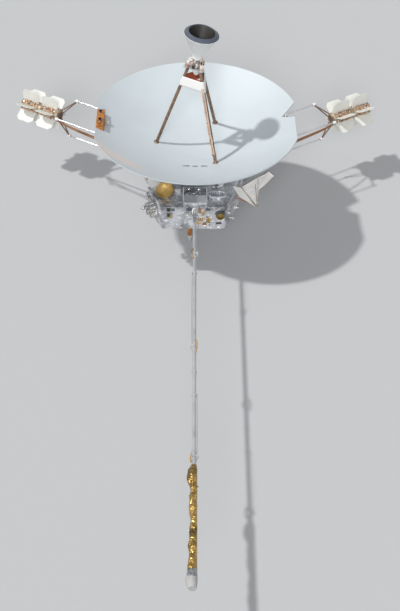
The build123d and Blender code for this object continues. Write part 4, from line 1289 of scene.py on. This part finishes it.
class PROBE_OT_instruments(ProbeStep, bpy.types.Operator):
    """Dress the instruments on and round the bay"""

    bl_idname = "probe.instruments"
    bl_label = "Instruments"

    def build(self, settings):
        self.radiometer(settings)
        self.covers(settings)
        self.hood()
        self.front(settings)
        self.corners(settings)

    def radiometer(self, settings):
        """Gold bowl of crumpled film on its post, with rose film folded round its back."""
        centre = shift((-0.394, -0.786, BUS_TOP + 0.046))
        place = centre @ Matrix.Rotation(radians(24), 4, "X") @ Matrix.Rotation(radians(-6), 4, "Y")
        profile = [(BOWL_R * share, z) for share, z in BOWL_PROFILE]
        fine = []
        for (r0, z0), (r1, z1) in zip(profile, profile[1:]):
            parts = max(1, int(sqrt((r1 - r0) ** 2 + (z1 - z0) ** 2) / 0.006))
            fine += [(r0 + (r1 - r0) * k / parts, z0 + (z1 - z0) * k / parts) for k in range(parts)]
        fine.append(profile[-1])
        piece = Form().add(lathe(fine, 72), place).make("gold_bowl", "bowl_film", "bus", "gold_film", 60)
        displaced(piece.data, 0.0040, 0.075, settings.seed + 40)
        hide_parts("bowl_radiometer")
        form = Form().add(drum(0.018, BUS_TOP - 0.006, BUS_TOP + 0.042), shift((-0.388, -0.780, 0)), 1)
        for k, (a, b, height) in enumerate(BOWL_FLAPS):
            a, b = Vector((*a, BUS_TOP - 0.006)), Vector((*b, BUS_TOP - 0.006))
            lean = Vector((0.004, -0.010, height))
            corners = [a, b, b + lean, a + lean]
            form.add(film_panel(corners, 0.0015, 0.006, 0.04, settings.seed + 50 + k, 0.006))
        form.make("bowl_flaps", ["rose_film", "bracket_metal"], "bus", "gold_film")

    def covers(self, settings):
        film_wrap("lid_covers", "bay_covers", "smooth_film",
                  0.006, 0.006, 0.06, settings.seed + 60)
        form = Form()
        for k in range(5):
            rib = shift((-0.280 + 0.0175 * k, -0.675, BUS_TOP + 0.046))
            form.add(bar((0.006, 0.082, 0.003), 0.0008), rib)
        form.make("grey_box_ribs", "grey_paint", "bus", "bus_film")
        z = BUS_TOP + 0.048
        sheet = Form()
        for k, (near, far, low, high, depth, cell) in enumerate(LID_SHEETS):
            left, right = -0.150, 0.140
            corners = [(left, near, z + low), (right, near, z + low)]
            corners += [(right, far, z + high), (left, far, z + high)]
            sheet.add(film_panel(corners, 0.002, depth, cell, settings.seed + 70 + k, 0.006), look=k)
        for x in (-0.156, 0.146):
            sheet.add(bar((0.014, 0.270, 0.006), 0.002), shift((x, -0.835, z + 0.006)), 2)
        looks = ["smooth_film", "wrinkled_film", "white_paint"]
        sheet.make("lid_sheets", looks, "bus", "bus_film")

    def hood(self):
        repaint([("oval_hood", "smooth_film")])
        form = Form()
        for k in range(9):
            x = 0.279 + (k - 4) * 0.024
            half = 0.056 * sqrt(max(0.05, 1 - ((k - 4) * 0.024 / 0.112) ** 2))
            place = shift((x, -0.795, BUS_TOP + 0.022)) @ Matrix.Rotation(radians(35), 4, "Y")
            form.add(bar((0.018, 2 * half, 0.0015), 0.0005), place)
        form.make("hood_slats", "silver_film", "bus", "dark_coat")

    def front(self, settings):
        """Small boxes, lines and gold specks on the bay's front wall."""
        y = BAY_FRONT_Y
        form = Form()
        for (x, z), size, kind in FRONT_BOXES:
            form.add(bar(size, 0.002), shift((x, y - size[1] / 2 + 0.004, z)), kind)
        rng = np.random.default_rng(settings.seed + 80)
        for k in range(34):
            x, z = rng.uniform(0.03, 0.20), rng.uniform(0.18, 0.44)
            turn = Matrix.Rotation(rng.uniform(0, pi), 4, "Y")
            size = (rng.uniform(0.008, 0.024), rng.uniform(0.006, 0.016), rng.uniform(0.006, 0.018))
            form.add(bar(size, 0.0015), shift((x, y - 0.003, z)) @ turn, (0, 3, 0, 4)[k % 4])
        flag = [(-0.350, y - 0.004, 0.335), (-0.300, y - 0.004, 0.335)]
        flag += [(-0.312, y - 0.012, 0.400), (-0.318, y - 0.012, 0.400)]
        form.add(film_panel(flag, 0.002, 0.003, 0.03, settings.seed + 81, 0.005), look=0)
        looks = ["gold_film", "dark_metal", "rim_band", "orange_film", "silver_film"]
        form.make("front_fittings", looks, "bus", "dark_coat")
        repaint([("front_aperture", "dark_gold"), ("boom_root_bracket", "bracket_metal")])
        ring = [(0.052, 0), (0.060, 0), (0.060, 0.016), (0.052, 0.018)]
        mouth = aimed((0.322, y + 0.002, BUS_LOW + 0.225), (0, -1, 0))
        form = Form().add(lathe(ring, 40, ring=True), mouth)
        boss = [(0, 0.014), (0.036, 0.014), (0.036, 0.018), (0.020, 0.026), (0, 0.028)]
        form.add(lathe(boss, 32), mouth, 1)
        arc = [mouth @ Vector((0.074 * cos(a), 0.074 * sin(a), 0.008)) for a in np.linspace(0.3, 2.9, 18)]
        form.add(tube(arc, 0.006, 8), look=2)
        form.make("aperture_trim", ["rim_band", "dark_gold", "dark_metal"], "bus", "dark_coat")

    def corners(self, settings):
        """Barrels, knobs and lens caps on the slanted walls."""
        repaint([("telescope_cluster", "bracket_metal"), ("side_detectors", "steel"),
                 ("right_detectors", "bracket_metal")])
        place = wall_place(-1, 0.52, BUS_LOW + 0.165)
        form = Form()
        for x, y, r, length in BARRELS:
            seat = place @ shift((x, y, 0.012))
            lens = [(0, length - 0.026), (r - 0.008, length - 0.026)]
            lens += [(r - 0.012, length - 0.018), (0, length - 0.014)]
            form.add(lathe(lens, 28), seat, 0)
            for height in (0.010, length * 0.55):
                wide, high = r + 0.0025, height + 0.007
                band = [(r, height), (wide, height), (wide, high), (r, high)]
                form.add(lathe(band, 32, ring=True), seat, 1)
        for a, b in ((0, 1), (1, 2), (3, 4), (0, 3)):
            start, end = (place @ Vector((*BARRELS[k][:2], 0.030)) for k in (a, b))
            out = place.to_3x3() @ Vector((0, 0, 0.03))
            form.add(tube(bend([start, (start + end) / 2 + out, end], 6), 0.003, 6), look=2)
        looks = ["dark_metal", "steel", "cable_tan"]
        form.make("barrel_trim", looks, "bus", "dark_coat")
        form = Form()
        for at, radius in LEFT_KNOBS:
            stalk = Vector((-0.560, at[1] + 0.020, at[2]))
            form.add(tube([stalk, at], 0.009, 10))
            form.add(drum(radius, -0.010, 0.014, 24, 0.004), aimed(at, (-0.75, -0.5, 0.4)))
        form.make("left_knobs", "bracket_metal", "bus", "dark_coat")
        form = Form().add(film_panel(WALL_SHEET, 0.003, 0.003, 0.08, settings.seed + 98, 0.008))
        form.add(bar((0.026, 0.010, 0.030), 0.002), shift((-0.628, -0.672, 0.690)), 1)
        form.make("wall_sheet", ["white_paint", "orange_film"], "bus", "bus_film")


# Blanket

# x, y and height over the lid of the foot, crest, tip, peak and root
BLANKET_CORNERS = [
    (0.800, -0.900, -0.100), (0.825, -0.700, 0.010), (1.050, -0.440, 0.055), (0.965, -0.430, 0.130),
    (0.590, -0.640, 0.030),
]
BLANKET_FLAP = [
    (0.779, -0.894, 0.409), (0.575, -0.770, 0.470), (0.480, -0.620, 0.536), (0.606, -0.648, 0.522),
]


class PROBE_OT_blanket(ProbeStep, bpy.types.Operator):
    """Fold the pointed cloth blanket over the outrigger and paint its tubes and the wall panel"""

    bl_idname = "probe.blanket"
    bl_label = "Outrigger blanket"

    def build(self, settings):
        repaint([("outrigger_tubes", "copper_tube"), ("wall_panel", "white_paint")])
        mesh = merged_copy("outrigger_blanket")
        work = bmesh.new()
        work.from_mesh(mesh)
        bmesh.ops.triangulate(work, faces=work.faces)
        for _ in range(5):
            long = [e for e in work.edges if e.calc_length() > 0.016]
            bmesh.ops.subdivide_edges(work, edges=long, cuts=1, use_grid_fill=True)
            bmesh.ops.triangulate(work, faces=work.faces)
        work.to_mesh(mesh)
        work.free()
        displaced(mesh, 0.010, 0.17, settings.seed + 90, -0.006)
        displaced(mesh, 0.004, 0.06, settings.seed + 93, 0.0)
        mesh.shade_smooth()
        mesh.set_sharp_from_angle(angle=radians(30))
        piece = finished("folded_blanket", mesh, "blanket_cloth", "bus")
        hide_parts("outrigger_blanket")
        self.binding()
        form = Form().add(film_panel(BLANKET_FLAP, 0.002, 0.006, 0.09, settings.seed + 97, 0.008))
        form.make("blanket_flap", "blanket_cloth", "bus", "blanket_cloth")

    def binding(self):
        """Brown edging and fold lines along the blanket."""
        foot, crest, tip, peak, root = (Vector((x, y, BUS_TOP + rise)) for x, y, rise in BLANKET_CORNERS)
        fold = root.lerp(peak, 0.45)
        runs = [(foot, root, 0.0040), (crest, tip, 0.0030), (root, peak, 0.0030), (peak, tip, 0.0030),
                (foot, fold.lerp(crest, 0.35), 0.0034),
                (foot.lerp(crest, 0.3), fold.lerp(peak, 0.3), 0.0026)]
        form = Form()
        for a, b, radius in runs:
            route = [a.lerp(b, s) for s in np.linspace(0.04, 0.96, 12)]
            form.add(tube(route, radius, 8), look=0)
        form.make("blanket_binding", "copper_wrap", "bus", "blanket_cloth")


# Trusses

def truss_place(side):
    """Matrix whose +Z points out along a truss and whose +Y is up."""
    a = radians(TRUSS_AZIMUTH[side])
    out = Vector((cos(a), sin(a), 0))
    place = Matrix(((-out.y, out.x, 0), (0, 0, 1), out)).transposed().to_4x4()
    place.translation = (0, 0, TRUSS_Z[side])
    return place


def rod_points(s):
    """The three rods at a distance along the truss."""
    return [Vector((TRUSS_RADIUS * cos(radians(a)), TRUSS_RADIUS * sin(radians(a)), s)) for a in ROD_ANGLES]


# place across, upwards and along the truss
HARNESS_POINTS = [
    (0.250, 0.030, 0.700), (0.246, 0.020, 1.000), (0.236, 0.030, 1.350), (0.196, 0.022, 1.750),
    (0.130, -0.010, 2.050), (0.072, -0.030, 2.215),
]


class PROBE_OT_trusses(ProbeStep, bpy.types.Operator):
    """Finish the truss rods, their clamps and guides, and hang the ribbon harness"""

    bl_idname = "probe.trusses"
    bl_label = "Trusses"

    def build(self, settings):
        for side in TRUSS_AZIMUTH:
            body = f"power_boom_{side}"
            place = truss_place(side)
            repaint([(f"rod_guide_{side}", "bracket_metal"), (f"truss_rods_{side}", "rod_metal"),
                     (f"end_frame_{side}", "brown_metal")])
            form = Form()
            for p in rod_points(ROD_END - 0.044):
                profile = [(ROD_R + 0.008, 0), (ROD_R + 0.0105, 0.002), (ROD_R + 0.0105, 0.050),
                           (ROD_R + 0.006, 0.054), (0, 0.054)]
                form.add(lathe(profile, 24), place @ shift(p))
                for height in (0.012, 0.036):
                    lug = shift(p + Vector((0, 0, height)))
                    out = Vector((p.x, p.y, 0)).normalized()
                    form.add(bar((0.012, 0.012, 0.010), 0.0015), place @ shift(out * 0.020) @ lug)
            form.make(f"rod_clamps_{side}", "white_paint", body, "rod_metal")
            self.harness(side, place)
            self.guide_bolts(side, place)

    def harness(self, side, place):
        """Flat ribbon from the guide to the inner generator."""
        near = 1 if side == "left" else -1
        route = bend([place @ Vector((near * x, y, s)) for x, y, s in HARNESS_POINTS], 14)
        form = Form()
        for k in range(5):
            drop = Vector((0, 0, 0.009 * (k - 2)))
            waves = [0.0015 * sin(9 * i / len(route) + k) for i in range(len(route))]
            strand = [p + drop + Vector((0, 0, wave)) for p, wave in zip(route, waves)]
            form.add(tube(strand, 0.0052, 8), look=k % 2)
        piece = form.make(f"ribbon_harness_{side}", ["harness_cloth", "copper_wrap"],
                          f"power_boom_{side}", "strut_wrap")
        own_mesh(piece)

    def guide_bolts(self, side, place):
        seats = []
        for azimuth, p in zip(ROD_ANGLES, rod_points(0.630)):
            for turn in (75, 135, 225, 285):
                spot = p + polar(azimuth + turn, 0.030)
                inward = spot - Vector((p.x, p.y, 0)) * 0.08
                seats.append((place @ inward, place.to_3x3() @ Vector((0, 0, 1))))
        studs(f"guide_bolts_{side}", seats, 0.005, 0.006, "steel", "bus")


# Generators

# kind, finish, radius, height, number between two fins, sides
CORE_STUDS = [
    ("copper", "copper_tube", 0.009, 0.020, 8, 6), ("dark", "dark_metal", 0.008, 0.014, 6, 8),
    ("white", "white_paint", 0.006, 0.018, 6, 10), ("tan", "cable_tan", 0.011, 0.012, 6, 5),
]


class PROBE_OT_generators(ProbeStep, bpy.types.Operator):
    """Build the finned generators with their cores, bolts and cluttered connectors"""

    bl_idname = "probe.generators"
    bl_label = "Generators"

    def build(self, settings):
        for side in TRUSS_AZIMUTH:
            for index, (where, start) in enumerate(GENERATOR_STARTS.items()):
                self.generator(settings, side, where, start, index)
            self.dome(side)

    def generator(self, settings, side, where, start, index):
        body = f"power_boom_{side}"
        place = truss_place(side) @ shift((0, 0, start))
        length = GENERATOR_LENGTH
        r = CORE_R
        core = [(0, 0), (r - 0.010, 0), (r - 0.002, 0.006)]
        for k in range(9):
            z = 0.012 + k * (length - 0.024) / 9
            core += [(r - 0.004, z), (r - 0.004, z + 0.020), (r, z + 0.021), (r, z + 0.026)]
        core += [(r - 0.002, length - 0.006), (r - 0.010, length), (0, length)]
        form = Form().add(lathe(core, 60), place, 0)
        if where == "inner":
            form.add(drum(0.070, length, length + GENERATOR_GAP, 40), place, 0)
        for k in range(FIN_COUNT):
            turn = Matrix.Rotation(radians(30 + 60 * k), 4, "Z")
            form.add(self.fin(), place @ turn, 1)
            for z in (0.045, 0.140, 0.235):
                rib = shift((r + 0.014, 0, z))
                form.add(bar((0.034, 0.020, 0.012), 0.002), place @ turn @ rib, 1)
        name = f"finned_generator_{where}_{side}"
        piece = form.make(name, ["tan_core", "fin_paint"], body, "generator_paint")
        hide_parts(f"generator_{where}_{side}")
        self.clutter(settings, side, where, place, index)

    def fin(self):
        """One fin plate with cut corners, a thicker root and thin edges."""
        c, tip, top = FIN_CHAMFER, FIN_TIP_R, GENERATOR_LENGTH - 0.006
        outline = [(0.060, 0.006), (tip - c, 0.006), (tip, 0.006 + c)]
        outline += [(tip, top - c), (tip - c, top), (0.060, top)]
        points, faces = [], []
        half, edge, x0, z0 = FIN_PLATE / 2, 0.0015, 0.157, 0.140
        for across, pull in ((-half, 0.985), (edge - half, 1), (half - edge, 1), (half, 0.985)):
            points += [(x0 + (x - x0) * pull, across, z0 + (z - z0) * pull) for x, z in outline]
        n = len(outline)
        for layer in range(3):
            a, b = layer * n, (layer + 1) * n
            faces += [[a + k, a + (k + 1) % n, b + (k + 1) % n, b + k] for k in range(n)]
        faces += [list(range(n)), [3 * n + k for k in range(n)]]
        return points, faces

    def clutter(self, settings, side, where, place, index):
        """Connectors, terminals and film scraps along the core between the fins."""
        rng = np.random.default_rng(settings.seed + 100 + index)
        turned = place.to_3x3()
        for kind, finish, radius, height, count, sides in CORE_STUDS:
            seats = []
            for sector in range(FIN_COUNT):
                for _ in range(count):
                    a = radians(60 * sector + 60) + rng.uniform(-0.36, 0.36)
                    z = rng.uniform(0.02, GENERATOR_LENGTH - 0.02)
                    out = Vector((cos(a), sin(a), 0))
                    lean = out + Vector((0, 0, rng.uniform(-0.5, 0.5)))
                    seat = place @ (out * (CORE_R + 0.004) + Vector((0, 0, z)))
                    seats.append((seat, turned @ lean.normalized()))
            studs(f"core_{kind}_{where}_{side}", seats, radius, height, finish, f"power_boom_{side}",
                  sides, 0.45, settings.seed + index)
        form = Form()
        for sector in range(FIN_COUNT):
            for _ in range(3):
                a = radians(60 * sector + 60) + rng.uniform(-0.25, 0.25)
                low, high = sorted(rng.uniform(0.01, GENERATOR_LENGTH - 0.01, 2))
                route = []
                for t in np.linspace(0, 1, 5):
                    reach = CORE_R + 0.006 + 0.016 * sin(pi * t)
                    turn, height = a + 0.12 * t, low + (high - low + 0.03) * t
                    route.append(Vector((reach * cos(turn), reach * sin(turn), height)))
                form.add(tube(bend(route, 4), 0.0032, 6), place, sector % 2)
        form.make(f"core_leads_{where}_{side}", ["copper_tube", "cable_tan"],
                  f"power_boom_{side}", "generator_paint")

    def dome(self, side):
        """Domed tan end with short radial pins where the truss meets the inner generator."""
        place = truss_place(side) @ shift((0, 0, GENERATOR_STARTS["inner"]))
        profile = [(0.060, -0.034), (0.074, -0.030), (0.088, -0.016)]
        profile += [(0.094, 0.000), (0.086, 0.004), (0.060, 0.004)]
        form = Form().add(lathe(profile, 48, ring=True), place, 0)
        for k in range(12):
            a = tau * k / 12 + 0.26
            at = Vector((0.086 * cos(a), 0.086 * sin(a), -0.010))
            pin = [(0, 0), (0.0038, 0), (0.0030, 0.020), (0.0012, 0.030), (0, 0.031)]
            form.add(lathe(pin, 8), place @ aimed(at, (cos(a), sin(a), -0.5)), 1)
        form.make(f"core_dome_{side}", ["tan_core", "white_paint"], f"power_boom_{side}",
                  "generator_paint")


# Boom

# body, distance to the side, start and end along the boom
LANYARDS = [
    ("boom_stub", 0.044, -1.130, -1.830), ("boom_inner", -0.030, -2.230, -3.420),
    ("boom_middle", 0.032, -4.220, -5.040),
]


class PROBE_OT_boom(ProbeStep, bpy.types.Operator):
    """Finish the folding boom: tubes, bolts, loops, lanyards, gold sleeve and sensor"""

    bl_idname = "probe.boom"
    bl_label = "Instrument boom"

    def build(self, settings):
        repaint([(body, "boom_metal") for body in BOOM_BODIES])
        self.sleeve(settings)
        self.sensor(settings)
        self.loops()
        self.lanyards(settings)
        for index in range(4):
            self.bolts(index)

    def sleeve(self, settings):
        """Loose gold film round the outer section, fuller on its free side."""
        low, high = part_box("foil_sleeve")
        length = high.y - low.y
        crush = crumpled(0.0060, 0.110, settings.seed + 120)

        def bag(points, angle, run):
            share = run / length
            swell = 0.026 * np.exp(-((share - 0.12) / 0.08) ** 2) + 0.024 * share ** 6
            swell += 0.006 * np.sin(share * 19) + 0.004 * np.sin(share * 41 + 1)
            free = (1 - np.cos(angle - SLEEVE_CLOSE_ANGLE)) / 2
            ends = np.clip(share / 0.05, 0, 1)
            return ends * (0.0060 + free * (0.009 + swell) + (0.6 + free) * crush(points, angle, run))

        start, end = (BOOM_X, high.y, BOOM_Z), (BOOM_X, low.y, BOOM_Z)
        piece = Form().add(skin(start, end, 0.0285, 0.0055, bag)).make(
            "gold_sleeve", "sleeve_film", "boom_outer", "boom_foil", 40)
        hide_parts("foil_sleeve")

    def sensor(self, settings):
        """Silver film gathered over the tip sensor, open side toward the tip."""
        length = 0.205
        start, end = (BOOM_X, TIP_Y + length, BOOM_Z), (BOOM_X, TIP_Y, BOOM_Z)
        crush = crumpled(0.0035, 0.070, settings.seed + 140)

        def bulb(points, angle, run):
            share = run / length
            free = (1 - np.cos(angle - SLEEVE_CLOSE_ANGLE)) / 2
            round_off = np.sqrt(np.clip(1 - ((share - 0.50) / 0.60) ** 2, 0.0, 1))
            folds = crush(points, angle, run) * (0.5 + free)
            return round_off * (0.006 + 0.044 * free) - 0.006 * share ** 6 + folds

        points, faces = skin(start, end, 0.0310, 0.0050, bulb)
        near = [sum(points[v].y for v in face) / len(face) < TIP_Y + 0.52 * length for face in faces]
        form = Form().add((points, faces))
        form.looks = [int(grey) for grey in near]
        piece = form.make("sensor_cover", ["silver_film", "sensor_cloth"], "boom_outer", "sensor_metal", 45)
        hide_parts("sensor_head")
        form = Form()
        for y, angle, reach in ((-5.455, -20, 0.042), (-6.009, 186, 0.052)):
            out = Vector((cos(radians(angle)), 0, sin(radians(angle))))
            at = Vector((BOOM_X, y, BOOM_Z)) + out * reach
            form.add(bar((0.014, 0.022, 0.016), 0.003), aimed(at, out))
            form.add(drum(0.005, -0.030, 0.0, 10), aimed(at, out))
        form.make("sleeve_fittings", "bracket_metal", "boom_outer", "boom_metal")

    def loops(self):
        """Harness loops that bend round the outside of each mid-boom hinge."""
        for k, rise in ((1, 0.018), (2, 0.036), (3, -0.018)):
            y = HINGE_YS[k]
            side = -HINGE_SIDES[k]
            form = Form()
            for lane in range(3):
                z = BOOM_Z + rise + 0.005 * lane * (1 if rise > 0 else -1)
                foot = BOOM_Z + 0.013 * (1 if rise > 0 else -1)
                bulge = 0.034 + 0.002 * lane - (0.006 if k == 2 else 0)
                points = [(BOOM_X + side * 0.018, y + 0.100, foot), (BOOM_X + side * 0.024, y + 0.072, z),
                          (BOOM_X + side * bulge, y + 0.030, z), (BOOM_X + side * bulge, y - 0.030, z),
                          (BOOM_X + side * 0.024, y - 0.072, z), (BOOM_X + side * 0.018, y - 0.100, foot)]
                form.add(tube(bend(points, 8), 0.0055, 8), look=lane % 2)
            piece = form.make(f"hinge_loop_{k}", ["gold_film", "cable_tan"], None, "boom_foil")
            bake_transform(piece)

    def lanyards(self, settings):
        """Thin taut wires beside the tubes, one on each of three sections."""
        for body, x, start, end in LANYARDS:
            form = Form()
            z = BOOM_Z + 0.030
            middle = (BOOM_X + x * 1.05, (start + end) / 2, z - 0.002)
            route = [(BOOM_X + x, start, z), middle, (BOOM_X + x, end, z)]
            form.add(tube(bend(route, 10), settings.lanyard_radius, 8))
            for y in (start, end):
                run = Vector((BOOM_X + x, y, z)) - Vector((BOOM_X, y, BOOM_Z))
                arm = aimed(Vector((BOOM_X, y, BOOM_Z)) + run * 0.5, run)
                form.add(bar((0.010, 0.008, run.length), 0.001), arm, 1)
            form.make(f"lanyard_{body}", ["steel", "bracket_metal"], body, "boom_metal")

    def bolts(self, index):
        """Screw heads on the sleeves at both ends of a section."""
        seats = []
        ends = [HINGE_YS[index] - 0.038]
        if index < 3:
            ends.append(HINGE_YS[index + 1] + 0.038)
        for y in ends:
            for row in (-0.013, 0.013):
                for k in range(6):
                    a = tau * (k + 0.5) / 6
                    out = Vector((cos(a), 0, sin(a)))
                    seats.append((Vector((BOOM_X, y + row, BOOM_Z)) + out * 0.0285, out))
        body = BOOM_BODIES[index]
        studs(f"sleeve_screws_{body}", seats, 0.0028, 0.0025, "steel", body)


# Stage

CAMERA_AT = (-0.03944, -13.20716, 10.40528)
CAMERA_RIGHT = (0.99996442, -0.00119696, 0.00835037)
CAMERA_UP = (-0.00520803, 0.69110896, 0.72273182)
CAMERA_BACK = (-0.0066361, -0.72274959, 0.69107814)
CAMERA_LENS = 71.76
FLOOR_HALF = 40.0


class PROBE_OT_stage(ProbeStep, bpy.types.Operator):
    """Set the floor, the lights, the world and the camera"""

    bl_idname = "probe.stage"
    bl_label = "Stage"

    def build(self, settings):
        scene = bpy.context.scene
        low = CAD_BOX[0][2] - settings.floor_drop
        floor = bpy.data.objects.new("floor", bpy.data.meshes.new("floor"))
        corners = [(x * FLOOR_HALF, y * FLOOR_HALF, low) for x, y in ((-1, -1), (1, -1), (1, 1), (-1, 1))]
        floor.data.from_pydata(corners, [], [(0, 1, 2, 3)])
        floor_paint = Finish("floor_paint", roughness=0.9, colour=(0.48, 0.49, 0.505))
        floor.data.materials.append(floor_paint.material)
        scene.collection.objects.link(floor)
        self.sun("key_light", (-5.1, -0.55, 8.6), 2.1, radians(2.5), (1.0, 0.99, 0.97))
        self.sun("front_light", (-1.2, -12.5, 8.2), 1.5, radians(20), (1.0, 0.99, 0.98))
        self.world(scene)
        camera = bpy.data.objects.new("camera", bpy.data.cameras.new("camera"))
        camera.data.lens = CAMERA_LENS
        camera.data.clip_end = 100
        place = Matrix((CAMERA_RIGHT, CAMERA_UP, CAMERA_BACK)).transposed().to_4x4()
        place.translation = CAMERA_AT
        camera.matrix_world = place
        scene.collection.objects.link(camera)
        scene.camera = camera
        scene.view_settings.view_transform = "Standard"

    def sun(self, name, at, power, angle, colour):
        """Sun lamp that shines from a place towards the middle."""
        lamp = bpy.data.lights.new(name, "SUN")
        lamp.energy = power
        lamp.angle = angle
        lamp.color = colour
        piece = bpy.data.objects.new(name, lamp)
        piece.matrix_world = aimed(at, at)
        bpy.context.scene.collection.objects.link(piece)

    def world(self, scene):
        """Even pale light, with soft boxes that only shiny surfaces see."""
        world = scene.world = bpy.data.worlds.new("studio")
        world.use_nodes = True
        tree = world.node_tree
        rays = tree.nodes.new("ShaderNodeLightPath").outputs
        spread = {"Value": rays["Is Camera Ray"], "To Min": 0.38, "To Max": 0.90}
        plain = wired(tree, "ShaderNodeMapRange", spread)
        around = tree.nodes.new("ShaderNodeTexCoord").outputs["Generated"]
        boxes = wired(tree, "ShaderNodeTexNoise", {"Vector": around, "Scale": 2.6, "Detail": 1.0})
        spread = {"From Min": 0.42, "From Max": 0.58, "To Min": 0.04, "To Max": 1.25}
        bright = wired(tree, "ShaderNodeMapRange", {"Value": boxes.outputs["Fac"], **spread})
        sockets = {0: rays["Is Glossy Ray"], 2: plain.outputs[0], 3: bright.outputs[0]}
        chosen = wired(tree, "ShaderNodeMix", sockets)
        background = tree.nodes["Background"]
        background.inputs["Color"].default_value = (0.93, 0.95, 0.97, 1)
        tree.links.new(chosen.outputs[0], background.inputs["Strength"])


# Panel and registration

STEPS = (PROBE_OT_dish, PROBE_OT_bus, PROBE_OT_tripod, PROBE_OT_feed, PROBE_OT_thrusters, PROBE_OT_aft,
         PROBE_OT_instruments, PROBE_OT_blanket, PROBE_OT_trusses, PROBE_OT_generators, PROBE_OT_boom,
         PROBE_OT_stage)


class PROBE_PT_sidebar(bpy.types.Panel):
    """Settings and steps in the 3D view's sidebar"""

    bl_idname = "PROBE_PT_sidebar"
    bl_label = "Deep-Space Probe"
    bl_space_type = "VIEW_3D"
    bl_region_type = "UI"
    bl_category = "Probe"

    def draw(self, context):
        settings = context.scene.probe
        for key in ProbeSettings.__annotations__:
            self.layout.prop(settings, key)
        for step in STEPS:
            self.layout.operator(step.bl_idname)


CLASSES = (ProbeSettings, *STEPS, PROBE_PT_sidebar)


def register():
    """Add the classes and the scene's settings."""
    for item in CLASSES:
        bpy.utils.register_class(item)
    bpy.types.Scene.probe = PointerProperty(type=ProbeSettings)


def unregister():
    """Remove them again."""
    del bpy.types.Scene.probe
    for item in reversed(CLASSES):
        bpy.utils.unregister_class(item)


def main():
    """Run every step."""
    register()
    for step in STEPS:
        group, name = step.bl_idname.split(".")
        getattr(getattr(bpy.ops, group), name)()


if __name__ == "__main__":
    main()
